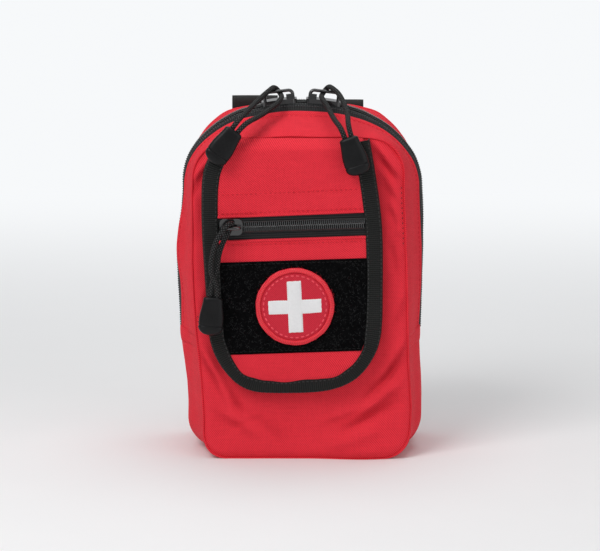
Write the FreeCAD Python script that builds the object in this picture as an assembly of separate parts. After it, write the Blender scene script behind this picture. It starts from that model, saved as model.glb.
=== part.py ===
import FreeCAD, Part
import math
import os

# A soft-sided first aid kit: a zipped pouch that stands on its base, with the zip round its crown
# and sides, a bound pocket on the front, and belt straps on the back.
# Millimetres. +Z is up, -Y is the front, and the origin is the middle of the base in the zip's plane.

V = FreeCAD.Vector

# Outlines of the pouch, seen from the front
ZIP_HALF = 64.5
ZIP_TOP = 188.0
ZIP_CROWN = 104.0
ZIP_SHOULDER = 38.0
ZIP_CORNER = 16.0
FRONT_HALF = 55.5
FRONT_TOP = 174.0
FRONT_CROWN = 600.0
FRONT_SHOULDER = 20.0
FRONT_CORNER = 14.0
BACK_HALF = 63.0
BACK_TOP = 183.0
BACK_CROWN = 400.0
BACK_SHOULDER = 40.0
BACK_CORNER = 16.0

# Depths from the plane of the zip
FRONT_DEPTH = 32.0
BACK_DEPTH = 30.0
FABRIC = 1.6
BACK_PAD = 2.4

# Main zip
TAPE_HALF = 10.0
TAPE_FLAT = 6.0
TAPE = 0.9
FRONT_TAPE_DROP = 3.0
BACK_TAPE_DROP = 1.0
COIL_WIDTH = 2.7
COIL_HEIGHT = 1.5
CHAIN_GAP = 0.6
ZIP_END_Z = 66.0

# Where the front folds down
FOLD_Z = 58.0
FOLD_GAP = 0.3

# Front pocket
POCKET_LEFT = -52.5
POCKET_LEFT_TOP = -43.5
POCKET_LEFT_TAPER_Z = 154.0
POCKET_RIGHT = 43.3
POCKET_RIGHT_TOP = 37.5
POCKET_RIGHT_TAPER_Z = 112.0
POCKET_TOP = 172.0
POCKET_BOTTOM = 36.6
POCKET_CORNER = 34.0
POCKET_HOLLOW = 4.8
POCKET_FABRIC = 1.2
BINDING = 0.8
BINDING_SIDE = 9.0
BINDING_BOTTOM = 7.2
POCKET_ZIP_Z = 127.0
POCKET_ZIP_BAND = 12.4
POCKET_TAPE = 0.8
POCKET_COIL_WIDTH = 2.0
POCKET_COIL_HEIGHT = 1.4

# Loop field and patch
LOOP_BOTTOM = 59.0
LOOP_TOP = 109.0
LOOP = 0.8
PATCH_X = -3.5
PATCH_Z = 84.2
PATCH_RADIUS = 20.8
PATCH_RIM = 2.6
PATCH_DISC = 1.4
PATCH_RIM_DEPTH = 1.8
CROSS_LONG = 27.6
CROSS_ARM = 7.1
CROSS_RAISE = 0.4
CROSS_TURN = 1.8

# Sliders
SLIDER_LENGTH = 19.0
SLIDER_TURN = 6.5
SLIDER_HALF = 5.6
SLIDER_PLATE = 0.9
SLIDER_PLAY = 0.25
SLIDER_SIDE = 1.0
SLIDER_LIP = 0.9
SLIDER_WEB = 0.7
SLIDER_NOSE = 4.5
POCKET_SLIDER_NOSE = 2.2
SLIDER_ROUND = 2.4
BAR = 1.8
BAR_BEND = 2.2
POCKET_SLIDER_LENGTH = 12.0
POCKET_SLIDER_HALF = 4.4
POCKET_SLIDER_X = -37.2

# Pulls
CORD = 2.8
CORD_SPACING = 3.6
WRAP_HALF = 2.45
WRAP_BEND = 2.2
WRAP_PLAY = 0.15
WRAP_STEP = 3.1
CORD_LEAD = 5.5
GRIP_LENGTH = 15.5
GRIP_TOP_WIDTH = 10.4
GRIP_END_WIDTH = 13.0
GRIP_TOP_DEPTH = 5.4
GRIP_END_DEPTH = 6.6
GRIP_ROUND = 2.0
CAP_LENGTH = 5.2
CAP_ROUND = 7.6

# Back straps and webbing
STRAP_WIDTH = 25.0
STRAP = 1.6
STRAP_PITCH = 47.0
STRAP_SHIFT = -2.0
STRAP_STANDOFF = 6.0
STRAP_END_Z = 24.0
STRAP_SEAM_Z = 168.0
LEFT_LOOP_Z = 186.0
RIGHT_LOOP_Z = 183.5
WEBBING = 1.2
WEBBING_HEIGHT = 25.0
WEBBING_PITCH = 50.0
WEBBING_FIRST_Z = 40.0
WEBBING_HALF = 52.0
SNAP_Z = 33.0
SNAP_STUD = 4.4
SNAP_BASE = 10.0
SNAP_CAP = 12.5
SNAP_PLAY = 0.2

# Inside
MESH_HALF = 50.0
MESH_BOTTOM = 66.0
MESH_TOP = 128.0
MESH_DEPTH = 5.8
MESH = 0.6
MESH_HEM = 5.0
BAND = 1.2
BAND_HEIGHT = 25.0
BAND_HALF = 44.0
BAND_LOWER_Z = 30.0
BAND_UPPER_Z = 78.0
BAND_STANDOFF = 12.0
REST = 0.3
ROLL_RADIUS = 17.6
ROLL_HEIGHT = 72.0
ROLL_X = 19.4
ROLL_Y = -4.8
TAPE_ROLL_RADIUS = 17.0
TAPE_ROLL_BORE = 11.0
TAPE_ROLL_HEIGHT = 22.0
DRESSING_HEIGHT = 24.0
DRESSING_WIDTH = 35.0
DRESSING_DEPTH = 34.0
SACHETS = 3
SACHET = 1.3
SACHET_WIDTH = 50.0
SACHET_HEIGHT = 50.0
SACHET_STEP = 9.0
PACK_DEPTH = 10.0
GLOVE_WIDTH = 36.0
GLOVE_HEIGHT = 98.0
BLANKET_WIDTH = 30.0
BLANKET_HEIGHT = 104.0
TWEEZER_HEIGHT = 112.0
TWEEZER_WIDTH = 7.0
TWEEZER_STEEL = 1.4

# Places that follow from the sizes above
FRONT_FACE = -(FRONT_DEPTH + FABRIC)
BACK_FACE = BACK_DEPTH + BACK_PAD
CROWN_Z = ZIP_TOP - ZIP_CROWN
POCKET_INNER = FRONT_FACE - POCKET_HOLLOW
POCKET_FACE = POCKET_INNER - POCKET_FABRIC
BINDING_FACE = POCKET_FACE - BINDING
LOOP_FACE = POCKET_FACE - LOOP
FAR = 400.0


def box(x0, x1, y0, y1, z0, z1):
    return Part.makeBox(x1 - x0, y1 - y0, z1 - z0, V(x0, y0, z0))


def between(shape, z0, z1):
    """The part of a shape between two heights."""
    return shape.common(box(-FAR, FAR, -FAR, FAR, z0, z1))


def joined(shapes):
    whole = shapes[0]
    for shape in shapes[1:]:
        whole = whole.fuse(shape)
    return whole.removeSplitter()


def line(a, b):
    return Part.LineSegment(a, b).toShape()


def arc(a, b, c):
    return Part.Arc(a, b, c).toShape()


def save(name, shape):
    solids = shape.Solids
    kept = solids[0] if len(solids) == 1 else Part.makeCompound(solids)
    kept.exportStep(os.path.join("parts", name + ".step"))


class Outline:
    """A rounded outline: base, base corners, straight sides, shoulder arcs and an arched crown."""

    def __init__(self, half, top, crown, shoulder, corner):
        self.half = half
        self.top = top
        self.crown = crown
        self.shoulder = shoulder
        self.corner = corner

    def side(self, y, inset, base, sign):
        """Edges of one half, from the base's middle to the crown's middle."""
        half = self.half - inset
        crown = self.crown - inset
        shoulder = self.shoulder - inset
        corner = self.corner - base
        crown_z = self.top - self.crown
        shoulder_x = half - shoulder
        shoulder_z = crown_z + math.sqrt((crown - shoulder) ** 2 - shoulder_x ** 2)
        turn = math.asin(shoulder_x / (crown - shoulder))
        bend = (turn + math.pi / 2) / 2
        diagonal = math.sqrt(0.5)

        def at(x, z):
            return V(sign * x, y, z)

        def on_shoulder(angle):
            return at(shoulder_x + shoulder * math.sin(angle), shoulder_z + shoulder * math.cos(angle))

        def on_crown(angle):
            return at(crown * math.sin(angle), crown_z + crown * math.cos(angle))

        foot = at(half - corner, base)
        heel = at(half, base + corner)
        base_bend = at(half - corner + corner * diagonal, base + corner - corner * diagonal)
        return [
            line(at(0, base), foot),
            arc(foot, base_bend, heel),
            line(heel, at(half, shoulder_z)),
            arc(at(half, shoulder_z), on_shoulder(bend), on_shoulder(turn)),
            arc(on_shoulder(turn), on_crown(turn / 2), on_crown(0)),
        ]

    def wire(self, y, inset=0.0, base=0.0):
        right = self.side(y, inset, base, 1)
        left = self.side(y, inset, base, -1)
        return Part.Wire(right + left[::-1])


FRONT = Outline(FRONT_HALF, FRONT_TOP, FRONT_CROWN, FRONT_SHOULDER, FRONT_CORNER)
ZIP = Outline(ZIP_HALF, ZIP_TOP, ZIP_CROWN, ZIP_SHOULDER, ZIP_CORNER)
BACK = Outline(BACK_HALF, BACK_TOP, BACK_CROWN, BACK_SHOULDER, BACK_CORNER)


def wall(start, end, thickness):
    """A hoop of fabric between two (outline, y, inset) stations, thickness measured inwards."""
    low = min(thickness, FABRIC)
    outer = [outline.wire(y, inset) for outline, y, inset in (start, end)]
    inner = [outline.wire(y, inset + thickness, low) for outline, y, inset in (start, end)]
    return Part.makeLoft(outer, True, True).cut(Part.makeLoft(inner, True, True))


def panel(outline, y0, y1):
    face = Part.Face(outline.wire(y0))
    return face.extrude(V(0, y1 - y0, 0))


AT_FRONT = (FRONT, -FRONT_DEPTH, 0.0)
AT_FRONT_TAPE = (ZIP, -TAPE_HALF, FRONT_TAPE_DROP)
AT_FRONT_FLAT = (ZIP, -TAPE_FLAT, 0.0)
AT_FRONT_CHAIN = (ZIP, -CHAIN_GAP, 0.0)
AT_MIDDLE = (ZIP, 0.0, 0.0)
AT_BACK_CHAIN = (ZIP, CHAIN_GAP, 0.0)
AT_BACK_FLAT = (ZIP, TAPE_FLAT, 0.0)
AT_BACK_TAPE = (ZIP, TAPE_HALF, BACK_TAPE_DROP)
AT_BACK = (BACK, BACK_DEPTH, 0.0)


def walls(stations, thickness):
    return joined([wall(a, b, thickness) for a, b in zip(stations, stations[1:])])


def shell_parts():
    """The pouch's own fabric: panels, gussets and the tub round the base."""
    flap_foot = FOLD_Z + FOLD_GAP
    front = panel(FRONT, FRONT_FACE, -FRONT_DEPTH)
    save("front_panel", between(front, flap_foot, FAR))
    save("front_panel_base", between(front, -FAR, FOLD_Z))
    save("back_panel", panel(BACK, BACK_DEPTH, BACK_FACE))

    front_side = wall(AT_FRONT, AT_FRONT_TAPE, FABRIC)
    hem_end = (ZIP, -FOLD_GAP, 0.0)
    hem = walls([AT_FRONT_TAPE, AT_FRONT_FLAT, hem_end], FABRIC)
    gusset = between(front_side, flap_foot, FAR).fuse(between(hem, flap_foot, ZIP_END_Z))
    save("front_gusset", gusset.removeSplitter())

    back_side = wall(AT_BACK_TAPE, AT_BACK, FABRIC)
    save("rear_gusset", between(back_side, ZIP_END_Z, FAR))

    front_half = walls([AT_FRONT, AT_FRONT_TAPE, AT_FRONT_FLAT, AT_MIDDLE], FABRIC)
    back_half = walls([AT_MIDDLE, AT_BACK_FLAT, AT_BACK_TAPE, AT_BACK], FABRIC)
    tub = between(front_half, -FAR, FOLD_Z).fuse(between(back_half, -FAR, ZIP_END_Z))
    save("base_gusset", tub.removeSplitter())


def zip_parts():
    """Both halves of the main zip: tape and coil."""
    front_tape = walls([AT_FRONT_TAPE, AT_FRONT_FLAT, AT_FRONT_CHAIN], TAPE)
    save("front_zip_tape", between(front_tape, ZIP_END_Z, FAR))
    back_tape = walls([AT_BACK_CHAIN, AT_BACK_FLAT, AT_BACK_TAPE], TAPE)
    save("rear_zip_tape", between(back_tape, ZIP_END_Z, FAR))
    for name, sign in (("front_zip_coil", -1), ("rear_zip_coil", 1)):
        near = (ZIP, sign * CHAIN_GAP, -COIL_HEIGHT)
        far = (ZIP, sign * (CHAIN_GAP + COIL_WIDTH), -COIL_HEIGHT)
        save(name, between(wall(near, far, COIL_HEIGHT), ZIP_END_Z, FAR))


def pocket_wire(y, side, bottom, top=0.0):
    """The pocket's outline, drawn in by side at its sides, bottom at its foot and top at its head."""
    left = POCKET_LEFT + side
    right = POCKET_RIGHT - side
    left_top = POCKET_LEFT_TOP + side
    right_top = POCKET_RIGHT_TOP - side
    foot = POCKET_BOTTOM + bottom
    head = POCKET_TOP - top
    corner = POCKET_CORNER - side
    bend_z = foot + corner
    diagonal = corner * math.sqrt(0.5)
    points = [V(left, y, POCKET_LEFT_TAPER_Z), V(left, y, bend_z), V(left + corner, y, foot)]
    points += [V(right - corner, y, foot), V(right, y, bend_z)]
    points += [V(right, y, POCKET_RIGHT_TAPER_Z), V(right_top, y, head), V(left_top, y, head)]
    left_bend = V(left + corner - diagonal, y, bend_z - diagonal)
    right_bend = V(right - corner + diagonal, y, bend_z - diagonal)
    return Part.Wire([
        line(points[0], points[1]),
        arc(points[1], left_bend, points[2]),
        line(points[2], points[3]),
        arc(points[3], right_bend, points[4]),
        line(points[4], points[5]),
        line(points[5], points[6]),
        line(points[6], points[7]),
        line(points[7], points[0]),
    ])


def pocket_slab(y0, y1, side, bottom, top=0.0):
    return Part.Face(pocket_wire(y0, side, bottom, top)).extrude(V(0, y1 - y0, 0))


def pocket_parts():
    """The front pocket: panels, zip, loop field and the binding that closes its edge."""
    flap_foot = FOLD_Z + FOLD_GAP
    face = pocket_slab(POCKET_FACE, POCKET_INNER, POCKET_FABRIC, POCKET_FABRIC, POCKET_FABRIC)
    zip_low = POCKET_ZIP_Z - POCKET_ZIP_BAND / 2
    zip_high = POCKET_ZIP_Z + POCKET_ZIP_BAND / 2
    head = box(-FAR, FAR, POCKET_FACE, FRONT_FACE, POCKET_TOP - POCKET_FABRIC, POCKET_TOP)
    head = head.common(pocket_slab(POCKET_FACE, FRONT_FACE, POCKET_FABRIC, 0))
    save("pocket_top_panel", between(face, zip_high, FAR).fuse(head).removeSplitter())
    save("pocket_panel", between(face, flap_foot, zip_low))
    save("pocket_panel_base", between(face, -FAR, FOLD_Z))

    tape_back = POCKET_FACE + POCKET_TAPE
    tape = pocket_slab(POCKET_FACE, tape_back, POCKET_FABRIC, POCKET_FABRIC)
    upper_foot = POCKET_ZIP_Z + CHAIN_GAP
    lower_head = POCKET_ZIP_Z - CHAIN_GAP
    save("pocket_zip_tape_upper", between(tape, upper_foot, zip_high))
    save("pocket_zip_tape_lower", between(tape, zip_low, lower_head))
    coil = pocket_slab(POCKET_FACE - POCKET_COIL_HEIGHT, POCKET_FACE, BINDING_SIDE, BINDING_BOTTOM)
    save("pocket_zip_coil_upper", between(coil, upper_foot, upper_foot + POCKET_COIL_WIDTH))
    save("pocket_zip_coil_lower", between(coil, lower_head - POCKET_COIL_WIDTH, lower_head))

    lip = pocket_slab(BINDING_FACE, POCKET_FACE, 0, 0)
    lip = lip.cut(pocket_slab(BINDING_FACE, POCKET_FACE, BINDING_SIDE, BINDING_BOTTOM, -1))
    edge = pocket_slab(POCKET_FACE, FRONT_FACE, 0, 0)
    edge = edge.cut(pocket_slab(POCKET_FACE, FRONT_FACE, POCKET_FABRIC, POCKET_FABRIC, -1))
    binding = lip.fuse(edge).removeSplitter()
    middle_x = (POCKET_LEFT + POCKET_RIGHT) / 2
    upper = between(binding, flap_foot, FAR)
    left = box(-FAR, middle_x, -FAR, FAR, -FAR, FAR)
    right = box(middle_x, FAR, -FAR, FAR, -FAR, FAR)
    save("binding_left", upper.common(left))
    save("binding_right", upper.common(right))
    save("binding_base", between(binding, -FAR, FOLD_Z))

    loop = pocket_slab(LOOP_FACE, POCKET_FACE, BINDING_SIDE, BINDING_BOTTOM)
    save("loop_panel", between(loop, LOOP_BOTTOM, LOOP_TOP))


def round_bar(x, z, y0, y1, radius):
    return Part.makeCylinder(radius, y1 - y0, V(x, y0, z), V(0, 1, 0))


def patch_parts():
    """The round patch: disc, raised rim and cross."""
    disc_face = LOOP_FACE - PATCH_DISC
    inner = PATCH_RADIUS - PATCH_RIM
    save("patch_disc", round_bar(PATCH_X, PATCH_Z, disc_face, LOOP_FACE, inner))
    rim = round_bar(PATCH_X, PATCH_Z, LOOP_FACE - PATCH_RIM_DEPTH, LOOP_FACE, PATCH_RADIUS)
    save("patch_rim", rim.cut(round_bar(PATCH_X, PATCH_Z, -FAR, FAR, inner)))
    reach = CROSS_LONG / 2
    arm = CROSS_ARM / 2
    low = disc_face - CROSS_RAISE
    upright = box(-arm, arm, low, disc_face, -reach, reach)
    level = box(-reach, reach, low, disc_face, -arm, arm)
    cross = upright.fuse(level).removeSplitter()
    cross.rotate(V(0, 0, 0), V(0, 1, 0), -CROSS_TURN)
    cross.translate(V(PATCH_X, 0, PATCH_Z))
    save("patch_cross", cross)


def bar_bridge(length, height, nose):
    """A round bar bent down to a foot at each end, in x and z, with a broad foot at the nose."""
    half = length / 2 - BAR / 2
    bend = BAR_BEND
    diagonal = bend * (1 - math.sqrt(0.5))
    path = Part.Wire([
        line(V(-half, 0, 0), V(-half, 0, height - bend)),
        arc(V(-half, 0, height - bend), V(-half + diagonal, 0, height - diagonal),
            V(-half + bend, 0, height)),
        line(V(-half + bend, 0, height), V(half - bend, 0, height)),
        arc(V(half - bend, 0, height), V(half - diagonal, 0, height - diagonal),
            V(half, 0, height - bend)),
        line(V(half, 0, height - bend), V(half, 0, 0)),
    ])
    section = Part.Wire([Part.makeCircle(BAR / 2, V(-half, 0, 0), V(0, 0, 1))])
    bridge = path.makePipeShell([section], True, False)
    foot = box(half + BAR / 2 - nose, half + BAR / 2, -BAR / 2, BAR / 2, 0, height * 0.55)
    return bridge.fuse(foot)


def plate_lift():
    """From a slider's plate to its bar: the cord's wrap turns clear of the plate."""
    corner = math.hypot(WRAP_HALF - WRAP_BEND, WRAP_HALF - WRAP_BEND) + WRAP_BEND
    return corner + CORD / 2 + WRAP_PLAY


def bar_radius():
    """Radius of the main sliders' bars about the crown's centre."""
    return ZIP_CROWN + COIL_HEIGHT + SLIDER_PLAY + SLIDER_PLATE + plate_lift()


def crown_slider(sign):
    """A slider of the main zip, bent to the crown that it runs on. Its nose faces the middle."""
    turn = math.degrees(SLIDER_LENGTH / ZIP_CROWN)
    plate_low = ZIP_CROWN + COIL_HEIGHT + SLIDER_PLAY
    plate_high = plate_low + SLIDER_PLATE
    under_high = ZIP_CROWN - TAPE - SLIDER_PLAY
    under_low = under_high - SLIDER_PLATE
    half = SLIDER_HALF

    def ring(y0, y1, low, high, angle):
        face = Part.Face(Part.makePolygon([
            V(0, y0, low), V(0, y1, low), V(0, y1, high), V(0, y0, high), V(0, y0, low)
        ]))
        solid = face.revolve(V(0, 0, 0), V(0, 1, 0), angle)
        solid.rotate(V(0, 0, 0), V(0, 1, 0), -angle / 2)
        return solid

    lip_low = ZIP_CROWN + SLIDER_PLAY
    lip_high = lip_low + SLIDER_SIDE / 2
    pieces = [ring(-half, half, plate_low, plate_high, turn)]
    pieces.append(ring(-half + SLIDER_SIDE / 2, half - SLIDER_SIDE / 2, under_low, under_high, turn))
    for side in (-1, 1):
        outer = sorted((side * half, side * (half - SLIDER_SIDE)))
        pieces.append(ring(outer[0], outer[1], lip_low, plate_low, turn))
        inner = sorted((side * (half - SLIDER_SIDE), side * (half - SLIDER_SIDE - SLIDER_LIP)))
        pieces.append(ring(inner[0], inner[1], lip_low, lip_high, turn))
    body = joined(pieces)
    corners = Part.makeBox(SLIDER_LENGTH, 2 * half, FAR, V(-SLIDER_LENGTH / 2, -half, 0))
    upright = [e for e in corners.Edges if abs(e.tangentAt(e.FirstParameter).z) > 0.9]
    body = body.common(corners.makeFillet(SLIDER_ROUND, upright))
    web_turn = math.degrees(SLIDER_NOSE / ZIP_CROWN)
    web = ring(-SLIDER_WEB / 2, SLIDER_WEB / 2, under_low, plate_low, web_turn)
    web.rotate(V(0, 0, 0), V(0, 1, 0), (turn - web_turn) / 2)
    bridge = bar_bridge(SLIDER_LENGTH - 2, plate_lift() + SLIDER_PLATE / 2, SLIDER_NOSE)
    bridge.translate(V(0, 0, plate_high - SLIDER_PLATE / 2))
    body = joined([body, web, bridge])
    if sign > 0:
        body = body.mirror(V(0, 0, 0), V(1, 0, 0))
    body.rotate(V(0, 0, 0), V(0, 1, 0), sign * SLIDER_TURN)
    body.translate(V(0, 0, CROWN_Z))
    return body


def pocket_slider():
    """The pocket's slider, drawn with its plate level, then stood against the pocket's face."""
    length = POCKET_SLIDER_LENGTH
    half = POCKET_SLIDER_HALF
    plate_low = POCKET_COIL_HEIGHT + SLIDER_PLAY
    plate_high = plate_low + SLIDER_PLATE
    under_high = -POCKET_TAPE - SLIDER_PLAY
    pieces = [box(-length / 2, length / 2, -half, half, plate_low, plate_high)]
    pieces.append(box(-length / 2, length / 2, -half + SLIDER_SIDE / 2, half - SLIDER_SIDE / 2,
                      under_high - SLIDER_PLATE, under_high))
    for side in (-1, 1):
        outer = sorted((side * half, side * (half - SLIDER_SIDE)))
        pieces.append(box(-length / 2, length / 2, outer[0], outer[1], SLIDER_PLAY, plate_low))
    body = joined(pieces)
    corners = Part.makeBox(length, 2 * half, FAR, V(-length / 2, -half, -FAR / 2))
    upright = [e for e in corners.Edges if abs(e.tangentAt(e.FirstParameter).z) > 0.9]
    body = body.common(corners.makeFillet(SLIDER_ROUND, upright))
    web = box(length / 2 - POCKET_SLIDER_NOSE, length / 2, -SLIDER_WEB / 2, SLIDER_WEB / 2,
              under_high - SLIDER_PLATE, plate_low)
    bridge = bar_bridge(length - 1, plate_lift() + SLIDER_PLATE / 2, POCKET_SLIDER_NOSE)
    bridge.translate(V(0, 0, plate_high - SLIDER_PLATE / 2))
    body = joined([body, web, bridge])
    body.rotate(V(0, 0, 0), V(1, 0, 0), 90)
    body.translate(V(POCKET_SLIDER_X, POCKET_FACE, POCKET_ZIP_Z))
    return body


def rounded_section(width, depth, radius, z):
    """A rounded rectangle in the plane at z, width in x and depth in y."""
    a = width / 2
    b = depth / 2
    k = radius * (1 - math.sqrt(0.5))
    return Part.Wire([
        line(V(-a + radius, -b, z), V(a - radius, -b, z)),
        arc(V(a - radius, -b, z), V(a - k, -b + k, z), V(a, -b + radius, z)),
        line(V(a, -b + radius, z), V(a, b - radius, z)),
        arc(V(a, b - radius, z), V(a - k, b - k, z), V(a - radius, b, z)),
        line(V(a - radius, b, z), V(-a + radius, b, z)),
        arc(V(-a + radius, b, z), V(-a + k, b - k, z), V(-a, b - radius, z)),
        line(V(-a, b - radius, z), V(-a, -b + radius, z)),
        arc(V(-a, -b + radius, z), V(-a + k, -b + k, z), V(-a + radius, -b, z)),
    ])


def placed(shape, origin, across, along):
    """Puts a shape drawn with x across and -z along the pull into the pouch's frame."""
    down = V(along).normalize()
    out = V(across).cross(down).normalize()
    side = down.cross(out).normalize()
    frame = FreeCAD.Matrix(
        side.x, out.x, -down.x, origin.x,
        side.y, out.y, -down.y, origin.y,
        side.z, out.z, -down.z, origin.z,
        0, 0, 0, 1,
    )
    return shape.transformed(frame)


def cord_tube(points):
    """One unbroken cord: straight runs with a tangent arc at each point, as wide as the runs allow."""
    runs = [b - a for a, b in zip(points, points[1:])]
    edges = []
    radii = []
    start = points[0]
    for i in range(1, len(points) - 1):
        before = V(runs[i - 1]).normalize()
        after = V(runs[i]).normalize()
        turn = before.getAngle(after)
        reach = 0.45 * min(runs[i - 1].Length, runs[i].Length)
        radius = reach / math.tan(turn / 2)
        radii.append(radius)
        enter = points[i] - before * reach
        leave = points[i] + after * reach
        inward = (after - before).normalize()
        middle = points[i] + inward * (radius / math.cos(turn / 2) - radius)
        edges.append(line(start, enter))
        edges.append(arc(enter, middle, leave))
        start = leave
    edges.append(line(start, points[-1]))
    path = Part.Wire(edges)
    section = Part.Wire([Part.makeCircle(CORD / 2, points[0], runs[0])])
    tube = path.makePipeShell([section], True, False)
    expected = path.Length * math.pi * CORD ** 2 / 4
    print("cord length %.1f, radii %s, volume share %.4f"
          % (path.Length, [round(r, 1) for r in radii], tube.Volume / expected))
    return tube


def grip_solids():
    """The moulded grip and its end cap, hanging down -z from the origin."""
    top = rounded_section(GRIP_TOP_WIDTH, GRIP_TOP_DEPTH, GRIP_ROUND, 0)
    end = rounded_section(GRIP_END_WIDTH, GRIP_END_DEPTH, GRIP_ROUND, -GRIP_LENGTH)
    grip = Part.makeLoft([top, end], True, True)
    block = Part.Face(end).extrude(V(0, 0, -CAP_LENGTH))
    centre_z = -GRIP_LENGTH - CAP_LENGTH + CAP_ROUND
    rounding = Part.makeCylinder(CAP_ROUND, GRIP_END_DEPTH, V(0, -GRIP_END_DEPTH / 2, centre_z),
                                 V(0, 1, 0))
    return grip, block.common(rounding)


def pull_parts(name, top, across, along, near, far):
    """A pull: the cord's ends meet the grip's head, and near and far lead it round the bar."""
    down = V(along).normalize()
    out = V(across).cross(down).normalize()
    side = down.cross(out).normalize()
    first = top + side * (CORD_SPACING / 2)
    last = top - side * (CORD_SPACING / 2)
    lead = down * CORD_LEAD
    save(name + "_cord", cord_tube([first, first - lead] + near + far + [last - lead, last]))
    grip, cap = grip_solids()
    save(name + "_grip", placed(grip, top, across, along))
    save(name + "_cap", placed(cap, top, across, along))


def at_bar(sign, along, y, lift):
    """A point by a main slider's bar: along it outwards, y deep, and lift away from the crown."""
    turn = math.radians(SLIDER_TURN)
    reach = bar_radius() + lift
    x = reach * math.sin(turn) + along * math.cos(turn)
    return V(sign * x, y, CROWN_Z + reach * math.cos(turn) - along * math.sin(turn))


def main_pulls():
    w = WRAP_HALF
    s = WRAP_STEP / 2
    left_near = [V(-21.4, -29.0, 184.6), V(-13.0, -16.0, 189.2),
                 at_bar(-1, -s, -8.2, -w), at_bar(-1, -s, w, -w)]
    left_far = [at_bar(-1, s, w, w), at_bar(-1, 4.6, -7.0, 1.8), V(-21.8, -16.0, 192.4),
                V(-27.8, -31.0, 188.2)]
    pull_parts("left_pull", V(-34.9, -43.5, 178.6), V(0.81, 0.0, -0.587), V(-0.587, -0.04, -0.81),
               left_near, left_far)
    right_near = [V(17.0, -30.0, 182.8), V(13.9, -17.5, 188.0),
                  at_bar(1, -s, -8.2, -w), at_bar(1, -s, w, -w)]
    right_far = [at_bar(1, s, w, w), at_bar(1, 3.6, -6.0, 3.0), V(20.6, -15.0, 194.0),
                 V(24.4, -30.0, 186.4)]
    pull_parts("right_pull", V(24.4, -43.5, 174.9), V(-0.95, 0.0, -0.307), V(0.307, -0.04, -0.95),
               right_near, right_far)


def pocket_pull():
    y = pocket_bar_y()
    z = POCKET_ZIP_Z
    w = WRAP_HALF
    x = POCKET_SLIDER_X
    s = WRAP_STEP / 2
    near = [V(x - 6.2, y + 1.0, 104.5), V(x - 3.0, y + w - 0.3, 112.5), V(x + 0.5, y + w, 120.0),
            V(x + s, y + w, z + w)]
    far = [V(x - s, y - w, z + w), V(x - 2.3, y - w, 119.5), V(x - 5.8, y - w + 0.4, 111.5),
           V(x - 9.6, y - 1.0, 103.5)]
    pull_parts("pocket_pull", V(x - 9.4, y, 90.4), V(-1, 0, 0.09), V(-0.09, 0.0, -1.0), near, far)


def pocket_bar_y():
    """Depth of the pocket slider's bar, in front of the pocket."""
    return POCKET_FACE - (POCKET_COIL_HEIGHT + SLIDER_PLAY + SLIDER_PLATE + plate_lift())


def slider_parts():
    save("left_slider_body", crown_slider(-1))
    save("right_slider_body", crown_slider(1))
    save("pocket_slider_body", pocket_slider())


def strap_parts():
    """Two belt straps that fold over at the top and snap shut low on the back."""
    inner_y = BACK_FACE + STRAP_STANDOFF
    outer_y = inner_y + STRAP
    fold_y = (BACK_FACE + outer_y) / 2
    outer_radius = (outer_y - BACK_FACE) / 2
    inner_radius = outer_radius - STRAP
    studs = []
    for name, side, loop_z in (("left", -1, LEFT_LOOP_Z), ("right", 1, RIGHT_LOOP_Z)):
        x = STRAP_SHIFT + side * STRAP_PITCH / 2
        x0 = x - STRAP_WIDTH / 2
        x1 = x + STRAP_WIDTH / 2
        tail = box(x0, x1, BACK_FACE, BACK_FACE + STRAP, STRAP_SEAM_Z, loop_z)
        fold = Part.makeCylinder(outer_radius, STRAP_WIDTH, V(x0, fold_y, loop_z), V(1, 0, 0))
        fold = fold.cut(Part.makeCylinder(inner_radius, STRAP_WIDTH, V(x0, fold_y, loop_z), V(1, 0, 0)))
        save(name + "_strap_tab", tail.fuse(between(fold, loop_z, FAR)).removeSplitter())
        strap = box(x0, x1, inner_y, outer_y, STRAP_END_Z, loop_z - FOLD_GAP)
        hole = round_bar(x, SNAP_Z, -FAR, FAR, SNAP_STUD / 2 + SNAP_PLAY)
        save(name + "_strap", strap.cut(hole))
        cap = round_bar(x, SNAP_Z, outer_y, outer_y + STRAP, SNAP_CAP / 2)
        socket = round_bar(x, SNAP_Z, inner_y - WEBBING, inner_y, SNAP_BASE / 2).cut(hole)
        save(name + "_snap_cap", Part.makeCompound([cap, socket]))
        base = round_bar(x, SNAP_Z, BACK_FACE, BACK_FACE + WEBBING, SNAP_BASE / 2)
        post = round_bar(x, SNAP_Z, BACK_FACE, outer_y - SNAP_PLAY, SNAP_STUD / 2)
        studs.append(base.fuse(post).removeSplitter())
    save("snap_studs", Part.makeCompound(studs))
    for i, name in enumerate(("lower", "middle", "upper")):
        foot = WEBBING_FIRST_Z + i * WEBBING_PITCH
        row = box(-WEBBING_HALF, WEBBING_HALF, BACK_FACE, BACK_FACE + WEBBING,
                  foot, foot + WEBBING_HEIGHT)
        cut = [round_bar(STRAP_SHIFT + side * STRAP_PITCH / 2, SNAP_Z, -FAR, FAR, SNAP_BASE)
               for side in (-1, 1)]
        tails = box(-FAR, FAR, BACK_FACE, FAR, STRAP_SEAM_Z, FAR)
        save("webbing_" + name, row.cut(cut[0]).cut(cut[1]).cut(tails))


def mesh_pocket():
    """The net pocket inside the front, open at its head."""
    y1 = -FRONT_DEPTH
    y0 = y1 + MESH_DEPTH
    outer = box(-MESH_HALF, MESH_HALF, y1, y0, MESH_BOTTOM, MESH_TOP)
    hollow = box(-MESH_HALF + MESH, MESH_HALF - MESH, y1, y0 - MESH, MESH_BOTTOM + MESH, MESH_TOP)
    save("mesh_pocket", outer.cut(hollow))
    hem = box(-MESH_HALF, MESH_HALF, y0, y0 + MESH, MESH_TOP - MESH_HEM, MESH_TOP)
    save("mesh_pocket_hem", hem)


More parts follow.
